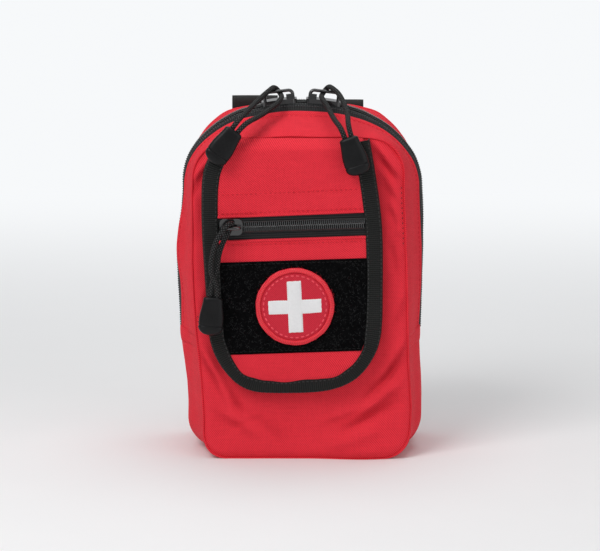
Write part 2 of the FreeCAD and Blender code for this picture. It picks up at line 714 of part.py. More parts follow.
def inner_bands():
    """Two elastic bands across the inside of the back."""
    y0 = BACK_DEPTH - BAND_STANDOFF
    for name, foot in (("lower", BAND_LOWER_Z), ("upper", BAND_UPPER_Z)):
        head = foot + BAND_HEIGHT
        outer = box(-BAND_HALF, BAND_HALF, y0, BACK_DEPTH, foot, head)
        hollow = box(-BAND_HALF + BAND, BAND_HALF - BAND, y0 + BAND, BACK_DEPTH, foot, head)
        save("elastic_band_" + name, outer.cut(hollow))


def contents():
    """The supplies: rolls, tape, dressing, sachets, and flat packs held by the bands."""
    floor = FABRIC + REST
    for name, x in (("bandage_roll", -ROLL_X), ("gauze_roll", ROLL_X)):
        save(name, Part.makeCylinder(ROLL_RADIUS, ROLL_HEIGHT, V(x, ROLL_Y, floor)))
    shelf = floor + ROLL_HEIGHT + REST
    ring = Part.makeCylinder(TAPE_ROLL_RADIUS, TAPE_ROLL_HEIGHT, V(-ROLL_X, ROLL_Y, shelf))
    bore = Part.makeCylinder(TAPE_ROLL_BORE, TAPE_ROLL_HEIGHT, V(-ROLL_X, ROLL_Y, shelf))
    save("tape_roll", ring.cut(bore))
    x0 = ROLL_X - DRESSING_WIDTH / 2
    y0 = ROLL_Y - DRESSING_DEPTH / 2
    dressing = box(x0, x0 + DRESSING_WIDTH, y0, y0 + DRESSING_DEPTH, shelf, shelf + DRESSING_HEIGHT)
    save("dressing_pack", dressing.makeFillet(DRESSING_HEIGHT / 5, dressing.Edges))
    sachets = []
    for i in range(SACHETS):
        x = (i - 1) * SACHET_STEP - SACHET_WIDTH / 2
        y = -FRONT_DEPTH + REST + i * (SACHET + REST)
        z = MESH_BOTTOM + MESH + REST
        sachets.append(box(x, x + SACHET_WIDTH, y, y + SACHET, z, z + SACHET_HEIGHT + i * SACHET_STEP / 2))
    save("wipe_sachets", Part.makeCompound(sachets))
    back = BACK_DEPTH - REST
    front = back - PACK_DEPTH
    glove_x = -(GLOVE_WIDTH + BLANKET_WIDTH + TWEEZER_WIDTH) / 2 - 4 * REST
    blanket_x = glove_x + GLOVE_WIDTH + 4 * REST
    save("glove_pack", box(glove_x, glove_x + GLOVE_WIDTH, front, back, floor, floor + GLOVE_HEIGHT))
    save("blanket_pack", box(blanket_x, blanket_x + BLANKET_WIDTH, front, back,
                             floor, floor + BLANKET_HEIGHT))
    save("tweezers", tweezers(blanket_x + BLANKET_WIDTH + 4 * REST, front, back, floor))


def tweezers(x0, y0, y1, z0):
    """A strip of steel bent double: two legs that close towards the tips, joined at the head."""
    x1 = x0 + TWEEZER_WIDTH
    head = z0 + TWEEZER_HEIGHT
    steel = TWEEZER_STEEL
    middle = (y0 + y1) / 2
    legs = []
    for y, sign in ((y0, 1), (y1, -1)):
        tip = middle - sign * steel
        corners = [V(x0, y, head), V(x0, y + sign * steel, head),
                   V(x0, tip + sign * steel / 2, z0), V(x0, tip - sign * steel / 2, z0),
                   V(x0, y, head)]
        legs.append(Part.Face(Part.makePolygon(corners)).extrude(V(x1 - x0, 0, 0)))
    cap = box(x0, x1, y0, y1, head, head + steel)
    return joined([legs[0], legs[1], cap])


def build():
    os.makedirs("parts", exist_ok=True)
    shell_parts()
    zip_parts()
    pocket_parts()
    patch_parts()
    slider_parts()
    main_pulls()
    pocket_pull()
    strap_parts()
    mesh_pocket()
    inner_bands()
    contents()


build()
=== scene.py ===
import math

import bpy
import numpy as np
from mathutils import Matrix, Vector


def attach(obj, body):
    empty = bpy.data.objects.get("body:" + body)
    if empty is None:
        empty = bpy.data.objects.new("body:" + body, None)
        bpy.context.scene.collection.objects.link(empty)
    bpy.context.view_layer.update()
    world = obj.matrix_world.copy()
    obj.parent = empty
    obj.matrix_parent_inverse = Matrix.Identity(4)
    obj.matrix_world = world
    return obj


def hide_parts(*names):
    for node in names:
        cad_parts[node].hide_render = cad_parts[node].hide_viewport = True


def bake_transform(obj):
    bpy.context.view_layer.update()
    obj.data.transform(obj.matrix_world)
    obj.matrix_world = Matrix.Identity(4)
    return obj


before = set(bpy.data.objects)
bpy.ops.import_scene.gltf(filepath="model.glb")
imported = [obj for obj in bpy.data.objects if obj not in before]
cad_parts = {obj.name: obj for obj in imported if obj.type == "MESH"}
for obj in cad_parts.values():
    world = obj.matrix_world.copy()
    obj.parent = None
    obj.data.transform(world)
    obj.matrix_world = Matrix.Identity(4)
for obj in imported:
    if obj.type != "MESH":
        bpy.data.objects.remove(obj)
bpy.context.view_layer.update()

# A red zipped first aid pouch, standing on its base and seen from the front, a little above.
# Sizes are millimetres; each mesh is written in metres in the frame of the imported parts.

MM = 0.001
TAU = 2 * math.pi
TO_FRONT, TO_BACK = (0, -1, 0), (0, 1, 0)


# Small tools: smooth steps, profiles along a line, and quiet waves for cloth

def smooth(low, high, value):
    """0 below low, 1 above high, and 3t^2 - 2t^3 between them."""
    t = np.clip((np.asarray(value, float) - low) / (high - low), 0, 1)
    return t * t * (3 - 2 * t)


def hump(t, power=1.0):
    """0 at both ends and 1 in the middle: a power of half a sine wave, never below zero."""
    return np.clip(np.sin(np.pi * np.asarray(t, float)), 0, 1) ** power


def profile(values, spots, heights, spread=5.0):
    """A curve through (spot, height) pairs, rounded by a Gaussian of the given spread."""
    grid = np.linspace(min(spots) - 30, max(spots) + 30, 800)
    line = np.interp(grid, spots, heights)
    step = grid[1] - grid[0]
    reach = np.arange(-int(3 * spread / step), int(3 * spread / step) + 1) * step
    kernel = np.exp(-0.5 * (reach / spread) ** 2)
    padded = np.pad(line, len(reach) // 2, mode="edge")
    return np.interp(values, grid, np.convolve(padded, kernel / kernel.sum(), "valid"))


def waves(a, b, c, size, seed):
    """Sum of eight sine waves in seeded directions, about -1 to 1, with the given wavelength."""
    draw = np.random.default_rng(seed)
    total = 0.0
    for _ in range(8):
        way = draw.normal(size=3)
        way *= TAU / size / np.linalg.norm(way) * draw.uniform(0.7, 1.5)
        total = total + np.sin(way[0] * a + way[1] * b + way[2] * c + draw.uniform(0, TAU))
    return total / 4


def unit_rows(rows):
    """Each row at a length of 1."""
    return rows / np.linalg.norm(rows, axis=1)[:, None]


def full_turn(n):
    """n angles spaced evenly round a circle."""
    return np.arange(n) / n * TAU


def run_of(path):
    """The distance walked along a path up to each of its points."""
    return np.concatenate([[0], np.cumsum(np.linalg.norm(np.diff(path, axis=0), axis=1))])


def points_at(path, stops):
    """Points of a path at the given distances along it."""
    length = run_of(path)
    return np.stack([np.interp(stops, length, path[:, k]) for k in range(path.shape[1])], 1)


def away_from(path, centre):
    """From a centre to each point of a path, laid level with the pouch's face."""
    out = path - centre
    out[:, 1] = 0
    return out


def round_ring(side, lift, turn):
    """A circle of radius 1 at each point of a path, in the plane of side and lift."""
    return side[:, None] * np.cos(turn)[None, :, None] + lift[:, None] * np.sin(turn)[None, :, None]


def crease(x, z, start, end, width, depth):
    """A ridge of the given depth along a segment in x and z, faded at both of its ends."""
    start = np.array(start, float)
    end = np.array(end, float)
    run = end - start
    t = ((x - start[0]) * run[0] + (z - start[1]) * run[1]) / (run @ run)
    off = (x - start[0]) * run[1] - (z - start[1]) * run[0]
    off = off / np.linalg.norm(run)
    fade = np.exp(-((t - 0.5) / 0.42) ** 4)
    return depth * fade * np.exp(-(off / width) ** 2)


# Meshes

def grid_faces(nu, nv, closed_u=False, closed_v=False, flip=False):
    """Quads of a grid of nu by nv points, and the place in the grid of each of their corners."""
    i, j = np.meshgrid(np.arange(nu if closed_u else nu - 1),
                       np.arange(nv if closed_v else nv - 1), indexing="ij")
    i = i.ravel()
    j = j.ravel()
    i2 = (i + 1) % nu
    j2 = (j + 1) % nv
    quads = np.stack([i * nv + j, i2 * nv + j, i2 * nv + j2, i * nv + j2], 1)
    corners = np.stack([i, j, i + 1, j, i + 1, j + 1, i, j + 1], 1).reshape(-1, 4, 2)
    if flip:
        return quads[:, ::-1], corners[:, ::-1]
    return quads, corners


def arc_lengths(points, axis, closed):
    """Mean distance walked along one direction of a grid of points."""
    ring = np.concatenate([points, points.take([0], axis)], axis) if closed else points
    steps = np.linalg.norm(np.diff(ring, axis=axis), axis=2).mean(axis=1 - axis)
    return np.concatenate([[0], np.cumsum(steps)])


def new_piece(name, points, faces, body, finish, stands_for=(), uv=None):
    """Writes a mesh from points in millimetres and sets its body and finish."""
    mesh = bpy.data.meshes.new(name)
    faces = faces if isinstance(faces, list) else np.asarray(faces).tolist()
    mesh.from_pydata((np.asarray(points) * MM).tolist(), [], faces)
    if uv is not None:
        layer = mesh.uv_layers.new(name="UVMap")
        layer.data.foreach_set("uv", np.asarray(uv, float).ravel())
    mesh.polygons.foreach_set("use_smooth", np.full(len(mesh.polygons), True))
    mesh.update()
    piece = bpy.data.objects.new(name, mesh)
    bpy.context.scene.collection.objects.link(piece)
    mesh.materials.append(finish)
    if body:
        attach(piece, body)
    if stands_for:
        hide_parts(*stands_for)
    return piece


def outwards(points, quads, facing):
    """Turns the quads over where their summed area normals point the wrong way: for "solid" the
    enclosed volume is positive, for "round" they leave the pouch's middle, else they follow a
    given direction."""
    a, b, c, d = np.moveaxis(points[quads], 1, 0)
    normal = np.cross(c - a, d - b)
    middle = (a + b + c + d) / 4
    if facing == "solid":
        total = (normal * middle).sum()
    elif facing == "round":
        total = (normal * (middle - (0, 0, 90)) * (1, 0, 1)).sum()
    else:
        total = (normal @ np.array(facing, float)).sum()
    return total >= 0


def surface(name, points, body, finish, stands_for=(), closed_u=False, closed_v=False,
            facing="solid", caps=False):
    """A grid of points (nu, nv, 3) as one smooth surface, with its walked lengths as its UV map.
    Caps close the first and the last ring of v."""
    nu, nv = points.shape[:2]
    flat = points.reshape(-1, 3)
    quads, corners = grid_faces(nu, nv, closed_u, closed_v)
    right = outwards(flat, quads, facing)
    if not right:
        quads, corners = quads[:, ::-1], corners[:, ::-1]
    across = arc_lengths(points, 0, closed_u) * MM
    along = arc_lengths(points, 1, closed_v) * MM
    uv = np.stack([across[corners[..., 0]], along[corners[..., 1]]], -1).reshape(-1, 2)
    faces = quads.tolist()
    if caps:
        turn = 1 if right else -1
        faces += [list(range(nv))[::turn], list(range((nu - 1) * nv, nu * nv))[::-turn]]
        uv = np.concatenate([uv, np.zeros((2 * nv, 2))])
    return new_piece(name, flat, faces, body, finish, stands_for, uv)


def thicken(piece, thickness, offset=-1.0):
    """Gives cloth its thickness; offset -1 puts it all behind the drawn surface."""
    wall = piece.modifiers.new("thickness", "SOLIDIFY")
    wall.thickness = thickness * MM
    wall.offset = offset
    wall.use_even_offset = True
    return piece


def many(name, points, faces, body, finish):
    """One mesh from many copies: points (n, k, 3) and one list of faces for a copy."""
    n, k = points.shape[:2]
    faces = np.asarray(faces)
    every = (faces[None] + (np.arange(n) * k)[:, None, None]).reshape(-1, faces.shape[1])
    return new_piece(name, points.reshape(-1, 3), every, body, finish)


def tube_faces(rings, sides, first):
    """Quads round a tube of rings by sides points, turned so that the first copy faces outwards."""
    faces, _ = grid_faces(rings, sides, closed_v=True)
    return faces if outwards(first.reshape(-1, 3), faces, "solid") else faces[:, ::-1]


def walk(path, pitch, start=0.0):
    """Points spaced by pitch along a path, and where they fall in its own count of points."""
    length = run_of(path)
    stops = np.arange(start, length[-1], pitch)
    return points_at(path, stops), np.interp(stops, length, np.arange(len(path)))


def even_path(path, pitch):
    """The same line with its points spaced evenly, both ends kept."""
    total = run_of(path)[-1]
    return points_at(path, np.linspace(0, total, int(round(total / pitch)) + 1))


# Finishes: a small class turns shader sockets into arithmetic

class Value:
    """A socket of a finish; arithmetic on it adds Math nodes."""

    def __init__(self, finish, socket):
        self.finish = finish
        self.socket = socket

    def math(self, operation, *others):
        return self.finish.node("ShaderNodeMath", {"operation": operation}, (self, *others))

    def __add__(self, other):
        return self.math("ADD", other)

    __radd__ = __add__

    def __mul__(self, other):
        return self.math("MULTIPLY", other)

    __rmul__ = __mul__

    def __sub__(self, other):
        return self.math("SUBTRACT", other)

    def __rsub__(self, other):
        return (self * -1) + other

    def __truediv__(self, other):
        return self.math("DIVIDE", other)

    def __pow__(self, other):
        return self.math("POWER", other)

    def sine(self):
        return self.math("SINE")

    def ridges(self, pitch):
        """Round ridges at a pitch: the sine of pi times the fraction of the way to the next."""
        return ((self / pitch).fraction() * math.pi).sine()

    def size(self):
        return self.math("ABSOLUTE")

    def fraction(self):
        return self.math("FRACT")

    def floor(self):
        return self.math("FLOOR")

    def least(self, other):
        return self.math("MINIMUM", other)

    def most(self, other):
        return self.math("MAXIMUM", other)

    def step(self, low, high):
        """0 to 1 between low and high, with soft ends."""
        settings = {"interpolation_type": "SMOOTHSTEP"}
        return self.finish.node("ShaderNodeMapRange", settings, (self, low, high, 0.0, 1.0))


class Finish:
    """A material with one Principled shader, whose constants are set on its own sockets."""

    def __init__(self, name, colour, **constants):
        self.material = bpy.data.materials.new(name)
        self.material.use_nodes = True
        self.tree = self.material.node_tree
        self.shader = self.tree.nodes["Principled BSDF"]
        self.shader.inputs["Base Color"].default_value = (*colour, 1)
        for key, value in constants.items():
            name = key.replace("_", " ").title().replace("Ior", "IOR")
            self.shader.inputs[name].default_value = value

    def link(self, value, socket):
        if isinstance(value, Value):
            self.tree.links.new(value.socket, socket)
        elif isinstance(value, (tuple, list)) and len(value) == 3 and socket.type == "RGBA":
            socket.default_value = (*value, 1)
        else:
            socket.default_value = value

    def node(self, kind, settings=None, inputs=(), output=0):
        """Adds a node: its settings first, then its inputs by place or by name."""
        node = self.tree.nodes.new(kind)
        for key, value in (settings or {}).items():
            setattr(node, key, value)
        pairs = inputs.items() if isinstance(inputs, dict) else enumerate(inputs)
        for key, value in pairs:
            if value is not None:
                self.link(value, node.inputs[key])
        return Value(self, node.outputs[output])

    def place(self, output="Object"):
        return self.node("ShaderNodeTexCoord", output=output)

    def parts(self, vector):
        """X, Y and Z of a vector, in millimetres."""
        split = self.tree.nodes.new("ShaderNodeSeparateXYZ")
        self.link(vector, split.inputs[0])
        return [Value(self, out) * 1000 for out in split.outputs]

    def noise(self, vector, size, detail=2.0, rough=0.5, squeeze=None):
        """Noise from 0 to 1 with features of the given size in millimetres."""
        if squeeze:
            settings = {"operation": "MULTIPLY"}
            vector = self.node("ShaderNodeVectorMath", settings, (vector, squeeze))
        values = {"Vector": vector, "Scale": 1000.0 / size, "Detail": detail, "Roughness": rough}
        return self.node("ShaderNodeTexNoise", None, values)

    def mix(self, factor, first, second):
        """A blend of two colours; the Mix node keeps its colour sockets at 6 and 7, output 2."""
        values = {0: factor, 6: first, 7: second}
        return self.node("ShaderNodeMix", {"data_type": "RGBA"}, values, 2)

    def paint(self, colour=None, rough=None, height=None, depth=0.1, strength=1.0):
        """Links the shader's colour, roughness and a bump whose depth is in millimetres."""
        if colour is not None:
            self.link(colour, self.shader.inputs["Base Color"])
        if rough is not None:
            self.link(rough, self.shader.inputs["Roughness"])
        if height is not None:
            values = {"Strength": strength, "Distance": depth * MM, "Height": height}
            bump = self.node("ShaderNodeBump", None, values)
            self.link(bump, self.shader.inputs["Normal"])
        return self.material


RED = (0.69, 0.035, 0.045)
BLACK = (0.007, 0.007, 0.0075)
BLACK_WEB = (0.0045, 0.0048, 0.0045)


def weave(u, v, pitch):
    """Plain weave: over-threads and under-threads in turn, 0 in the gaps and 1 on the threads."""
    over = (u / pitch).floor() + (v / pitch).floor()
    check = (over * 0.5).fraction() * 2
    warp = u.ridges(pitch) ** 0.7
    weft = v.ridges(pitch) ** 0.7
    rise_v = v.ridges(pitch)
    rise_u = u.ridges(pitch)
    return warp * check * (0.55 + 0.45 * rise_v) + weft * (1 - check) * (0.55 + 0.45 * rise_u)


def red_cloth():
    """Coated polyester in a basket weave whose steps line up in fine slanting rows, its threads a
    little uneven in shade, with painted shade from the "fold" attribute: darker on the creases'
    sides turned from the light and in their valleys, lighter on the sides turned to it."""
    f = Finish("red_cloth", RED, roughness=0.7, specular_ior_level=0.12)
    uv = f.place("UV")
    u, v, _ = f.parts(uv)
    threads = weave(u, v, 0.66)
    drift = (f.noise(uv, 7.0) - 0.5) * 0.5
    slant = (u + v * 0.86 + drift).ridges(1.12)
    spot = f.place()
    patchy = f.noise(spot, 22.0, 2.0)
    slub = (f.noise(uv, 1.4, 3.0, 0.7, (1.0, 0.14, 1.0))
            + f.noise(uv, 1.4, 3.0, 0.7, (0.14, 1.0, 1.0)))
    # Painted shade: the fold attribute holds crease shading baked for a light from above; where it
    # is below zero it lightens the weave's shade as painted light.
    fold = f.node("ShaderNodeAttribute", {"attribute_name": "fold"}, (), "Fac")
    shade = threads * 0.18 + slant * 0.62 + slub * 0.26 + patchy * 0.14 - fold * 0.3
    shade = shade.step(0.24, 1.02)
    colour = f.mix(shade, (0.42, 0.005, 0.014), (0.90, 0.038, 0.060))
    # Painted shade: the colour goes towards a dark red where the fold attribute rises, on the
    # creases' sides turned from the light and in their valleys.
    colour = f.mix(fold.most(0.0).least(1.0) * 0.62, colour, (0.34, 0.003, 0.010))
    return f.paint(colour, 0.76 - shade * 0.14, threads * 0.5 + slant * 1.1 + slub * 0.4, 0.2, 0.75)


def black_tape_cloth(name, rib, base=BLACK_WEB, lift=(0.019, 0.020, 0.019), depth=0.34):
    """Woven tape with ribs across its length; UV u runs along the tape."""
    f = Finish(name, base, roughness=0.74, sheen_weight=0.03, sheen_roughness=0.5,
               specular_ior_level=0.14)
    uv = f.place("UV")
    u, v, _ = f.parts(uv)
    ribs = u.ridges(rib) ** 0.8
    fuzz = f.noise(uv, 0.5, 2.0, 0.6)
    slow = f.noise(f.place(), 9.0)
    cross = v.ridges(rib * 0.8)
    shade = (ribs * 0.5 + cross * 0.15 + fuzz * 0.25 + slow * 0.2).step(0.25, 0.95)
    return f.paint(f.mix(shade, base, lift), 0.84 - shade * 0.2, ribs + cross * 0.3 + fuzz * 0.3,
                   depth, 1.0)


def webbing_cloth():
    """Flat webbing: a herringbone of fine threads; UV u runs along the strap."""
    f = Finish("webbing", BLACK_WEB, roughness=0.7, sheen_weight=0.03, sheen_roughness=0.4,
               specular_ior_level=0.25)
    uv = f.place("UV")
    u, v, _ = f.parts(uv)
    fold = ((v / 3.2).fraction() - 0.5).size() * 3.2
    ribs = (u + fold).ridges(1.15)
    fine = v.ridges(0.8)
    fuzz = f.noise(uv, 0.6, 2.0, 0.6)
    shade = (ribs * 0.5 + fine * 0.2 + fuzz * 0.3).step(0.2, 0.95)
    return f.paint(f.mix(shade, BLACK_WEB, (0.030, 0.030, 0.029)), 0.8 - shade * 0.2,
                   ribs + fine * 0.4 + fuzz * 0.3, 0.2)


def loop_cloth():
    """The loop side of a hook-and-loop tape: a dense dark pile with a few pale fibres."""
    f = Finish("loop_pile", (0.003, 0.003, 0.0035), roughness=0.95, specular_ior_level=0.05)
    spot = f.place()
    curls = f.noise(spot, 0.75, 3.0, 0.8)
    clumps = f.noise(spot, 3.4, 2.0)
    lint = f.noise(spot, 0.55, 1.0).step(0.70, 0.78) * f.noise(spot, 6.0).step(0.45, 0.7)
    shade = (curls * 0.75 + clumps * 0.35).step(0.42, 0.9)
    dark = f.mix(shade, (0.0012, 0.0012, 0.0014), (0.0065, 0.0065, 0.0072))
    return f.paint(f.mix(lint * 0.5, dark, (0.11, 0.11, 0.12)), None, curls + clumps * 0.4, 0.5)


def patch_twill(name, colour, deep, pitch, slope):
    """Embroidered thread: raised lines at a slope, with a soft shine along them."""
    f = Finish(name, colour, roughness=0.5, sheen_weight=0.05, sheen_roughness=0.35,
               specular_ior_level=0.25)
    x, _, z = f.parts(f.place())
    lines = (x * math.cos(slope) + z * math.sin(slope)).ridges(pitch)
    fuzz = f.noise(f.place(), 1.1, 2.0)
    shade = (lines * 0.6 + fuzz * 0.5).step(0.1, 0.95)
    return f.paint(f.mix(shade, deep, colour), 0.62 - shade * 0.2, lines + fuzz * 0.3, 0.12)


def rim_thread():
    """Overlocked thread round the patch; UV u runs along the rim."""
    f = Finish("patch_rim", (0.80, 0.020, 0.035), roughness=0.36, specular_ior_level=0.45)
    uv = f.place("UV")
    u, v, _ = f.parts(uv)
    lines = (u + v * 0.35).ridges(0.95)
    fuzz = f.noise(uv, 0.9)
    shade = (lines * 0.7 + fuzz * 0.4).step(0.1, 0.9)
    colour = f.mix(shade, (0.58, 0.008, 0.018), (0.90, 0.028, 0.050))
    return f.paint(colour, None, lines + fuzz * 0.2, 0.16)


def plain(name, colour, rough, speckle=0.05, size=0.8, depth=0.03, **constants):
    """A moulded or lacquered surface with a fine grain in its shade, gloss and height."""
    f = Finish(name, colour, roughness=rough, **constants)
    spot = f.place()
    grain = f.noise(spot, size, 3.0, 0.6)
    slow = f.noise(spot, size * 14, 2.0)
    darker = tuple(c * (1 - 2.5 * speckle) for c in colour)
    lighter = tuple(min(1.0, c * (1 + 2.5 * speckle) + 0.004) for c in colour)
    colours = f.mix((grain * 0.6 + slow * 0.4).step(0.3, 0.7), darker, lighter)
    return f.paint(colours, (grain * 0.5 + slow * 0.5) * 0.16 + (rough - 0.08), grain, depth)


def braid_cloth():
    """A braided cord: two families of strands that cross; UV u runs along the cord. Its colour
    turns light grey where both families crest, a painted highlight.
    """
    f = Finish("braid", BLACK, roughness=0.6, specular_ior_level=0.2)
    u, v, _ = f.parts(f.place("UV"))
    one = (u + v * 0.9).ridges(1.6)
    two = (u - v * 0.9).ridges(1.6)
    strands = one.most(two)
    # Painted highlight: the near-black cord goes light grey where both families of strands crest
    # together.
    shade = (one * two).step(0.42, 0.95)
    colour = f.mix(shade, (0.0022, 0.0022, 0.0022), (0.075, 0.075, 0.075))
    return f.paint(colour, None, strands, 0.5)


def net_cloth():
    """A knitted net with diamond holes that show what is behind it."""
    f = Finish("net", (0.02, 0.02, 0.02), roughness=0.7)
    x, _, z = f.parts(f.place())
    one = (((x + z) / 3.0).fraction() - 0.5).size()
    two = (((x - z) / 3.0).fraction() - 0.5).size()
    hole = (0.5 - one).least(0.5 - two).step(0.13, 0.19)
    f.link(1 - hole, f.shader.inputs["Alpha"])
    return f.paint(None, None, hole * -1, 0.3)


def gauze_cloth(name, colour, deep, pitch):
    """Open cotton weave in layers."""
    f = Finish(name, colour, roughness=0.9, sheen_weight=0.3)
    u, v, _ = f.parts(f.place("UV"))
    threads = weave(u, v, pitch)
    fuzz = f.noise(f.place(), 1.2, 3.0, 0.7)
    shade = (threads * 0.6 + fuzz * 0.5).step(0.15, 0.9)
    return f.paint(f.mix(shade, deep, colour), None, threads + fuzz * 0.4, 0.25)


def steel_finish():
    """Bright steel with a fine brushed grain down its length."""
    f = Finish("steel", (0.62, 0.62, 0.63), roughness=0.3, metallic=1.0)
    spot = f.place()
    brushed = f.noise(spot, 0.5, 3.0, 0.7, (1.0, 1.0, 0.03))
    return f.paint(None, 0.2 + brushed * 0.25, brushed, 0.02)


RED_CLOTH = red_cloth()
BINDING_CLOTH = black_tape_cloth("binding_tape", 1.12)
ZIP_CLOTH = black_tape_cloth("zip_tape", 1.25, BLACK, (0.026, 0.027, 0.028), 0.2)
ELASTIC_CLOTH = black_tape_cloth("elastic", 1.3)
WEBBING_CLOTH = webbing_cloth()
LOOP_CLOTH = loop_cloth()
PATCH_CLOTH = patch_twill("patch_twill", (0.66, 0.020, 0.045), (0.46, 0.008, 0.022), 0.8, 0.8)
CROSS_UP = patch_twill("cross_satin_up", (0.92, 0.92, 0.92), (0.78, 0.78, 0.79), 0.55, 1.57)
CROSS_LEVEL = patch_twill("cross_satin_level", (0.92, 0.92, 0.92), (0.80, 0.80, 0.81), 0.55, 0.0)
RIM_CLOTH = rim_thread()
RED_THREAD = plain("red_thread", (0.66, 0.018, 0.035), 0.6, 0.08, 0.4, specular_ior_level=0.2)
PATCH_THREAD = plain("patch_thread", (0.88, 0.085, 0.12), 0.5, 0.08, 0.4, specular_ior_level=0.3)
BLACK_THREAD = plain("black_thread", (0.015, 0.015, 0.015), 0.6, 0.08, 0.4)
COIL_NYLON = plain("coil_nylon", (0.008, 0.008, 0.009), 0.17, 0.08, 0.5, 0.01, coat_weight=1.0)
LACQUER = plain("slider_lacquer", (0.010, 0.010, 0.011), 0.16, 0.06, 0.9, 0.006, coat_weight=1.0)
MOULDED = plain("moulded_black", (0.003, 0.003, 0.0035), 0.36, 0.08, 0.5, 0.03,
                specular_ior_level=0.2)
SNAP_PAINT = plain("snap_lacquer", (0.02, 0.02, 0.022), 0.3, 0.06, 0.8, 0.01, coat_weight=0.4)
BRAID = braid_cloth()
NET = net_cloth()
GAUZE = gauze_cloth("gauze", (0.90, 0.89, 0.85), (0.72, 0.71, 0.66), 1.1)
CREPE = gauze_cloth("crepe", (0.78, 0.62, 0.44), (0.55, 0.40, 0.27), 1.3)
TAPE_CLOTH = gauze_cloth("tape_cloth", (0.90, 0.88, 0.82), (0.80, 0.77, 0.70), 0.7)
PAPER = plain("wrapper_paper", (0.86, 0.86, 0.84), 0.6, 0.03, 1.5, 0.06)
FOIL = plain("foil_film", (0.66, 0.67, 0.69), 0.22, 0.1, 5.0, 0.5, metallic=0.8)
GLOVE = plain("glove_film", (0.22, 0.36, 0.58), 0.35, 0.1, 4.0, 0.5)
STEEL = steel_finish()


# Solids that are seen as packed take these finishes on their objects

for node_name, node_finish in (("left_slider_body", LACQUER), ("right_slider_body", LACQUER),
                               ("pocket_slider_body", LACQUER), ("snap_studs", SNAP_PAINT),
                               ("tweezers", STEEL)):
    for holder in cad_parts[node_name].material_slots:
        holder.link = "OBJECT"
        holder.material = node_finish


# Camera, lights and floor

def look_at(piece, target):
    """Turns a lamp so that its face points at a place."""
    way = Vector(target) - piece.location
    piece.rotation_euler = way.to_track_quat("-Z", "Y").to_euler()


def soft_lamp(name, place, target, size, power, colour=(1, 1, 1)):
    """A square soft box that faces the pouch."""
    data = bpy.data.lights.new(name, "AREA")
    data.shape = "SQUARE"
    data.size = size
    data.energy = power
    data.color = colour
    lamp = bpy.data.objects.new(name, data)
    bpy.context.scene.collection.objects.link(lamp)
    lamp.location = place
    look_at(lamp, target)
    return lamp


def studio():
    """White world, three soft boxes, a pale floor that keeps the pouch's shadow."""
    scene = bpy.context.scene
    scene.view_settings.view_transform = "Standard"
    data = bpy.data.cameras.new("camera")
    camera = bpy.data.objects.new("camera", data)
    scene.collection.objects.link(camera)
    camera.location = (-0.0008, -1.6102, 0.3861)
    camera.rotation_euler = (math.radians(79.7), 0, 0)
    data.lens = 180.8
    data.sensor_width = 36
    data.clip_start = 0.05
    data.clip_end = 20
    scene.camera = camera

    soft_lamp("key", (-0.50, -0.66, 0.92), (0, 0, 0.09), 0.55, 6.5)
    soft_lamp("fill", (0.75, -0.75, 0.40), (0, 0, 0.09), 0.8, 1.9)
    soft_lamp("top", (0.05, 0.15, 1.05), (0, 0, 0.1), 0.7, 3.4)

    world = bpy.data.worlds.new("white")
    scene.world = world
    world.use_nodes = True
    tree = world.node_tree
    background = tree.nodes["Background"]
    background.inputs["Color"].default_value = (0.94, 0.955, 0.97, 1)
    seen = tree.nodes.new("ShaderNodeLightPath")
    strength = tree.nodes.new("ShaderNodeMapRange")
    strength.inputs["To Min"].default_value = 0.34
    strength.inputs["To Max"].default_value = 0.96
    either = tree.nodes.new("ShaderNodeMath")
    either.operation = "MAXIMUM"
    tree.links.new(seen.outputs["Is Camera Ray"], either.inputs[0])
    part = tree.nodes.new("ShaderNodeMath")
    part.operation = "MULTIPLY"
    part.inputs[1].default_value = 0.35
    tree.links.new(seen.outputs["Is Glossy Ray"], part.inputs[0])
    tree.links.new(part.outputs[0], either.inputs[1])
    tree.links.new(either.outputs[0], strength.inputs["Value"])
    tree.links.new(strength.outputs["Result"], background.inputs["Strength"])

    # The floor is one sheet that rises far behind the pouch in a wide curve
    t = np.linspace(0, 1, 60)
    y = np.interp(t, [0, 0.5, 1], [-3.0, 1.2, 3.2])
    z = 0.9 * np.clip((y - 1.2) / 2.0, 0, 1) ** 2 * 2
    x = np.linspace(-3, 3, 24)
    points = np.stack(np.broadcast_arrays(x[:, None], y[None], z[None] - 0.0002), -1) * 1000
    quads, _ = grid_faces(24, 60)
    f = Finish("floor", (0.86, 0.86, 0.86), roughness=0.75, specular_ior_level=0.2)
    speck = f.noise(f.place(), 60.0, 2.0)
    f.paint(f.mix(speck, (0.885, 0.885, 0.890), (0.905, 0.905, 0.908)))
    white = f.node("ShaderNodeEmission", None, {"Color": (0.93, 0.945, 0.96, 1), "Strength": 1.0})
    place = f.tree.nodes.new("ShaderNodeNewGeometry")
    split = f.tree.nodes.new("ShaderNodeSeparateXYZ")
    f.tree.links.new(place.outputs["Position"], split.inputs[0])
    far = Value(f, split.outputs[1]).step(0.04, 0.9)
    ray = f.node("ShaderNodeLightPath", None, (), "Is Camera Ray")
    near = Value(f, f.shader.outputs[0])
    mix = f.node("ShaderNodeMixShader", None, {0: far * ray, 1: near, 2: white})
    out = f.tree.nodes["Material Output"]
    f.tree.links.new(mix.socket, out.inputs["Surface"])
    floor = new_piece("floor", points.reshape(-1, 3), quads, None, f.material)
    return floor


studio()


# The pouch's outline at each depth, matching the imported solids

FRONT = (55.5, 174.0, 600.0, 20.0, 14.0)
ZIP = (64.5, 188.0, 104.0, 38.0, 16.0)
BACK = (63.0, 183.0, 400.0, 40.0, 16.0)
N_BASE, N_CORNER, N_LOW, N_MID, N_SIDE, N_SHOULDER, N_CROWN = 18, 12, 26, 6, 44, 30, 40
SEAM_ROW = N_BASE + N_CORNER + N_LOW + N_MID
CLOTH = 0.9


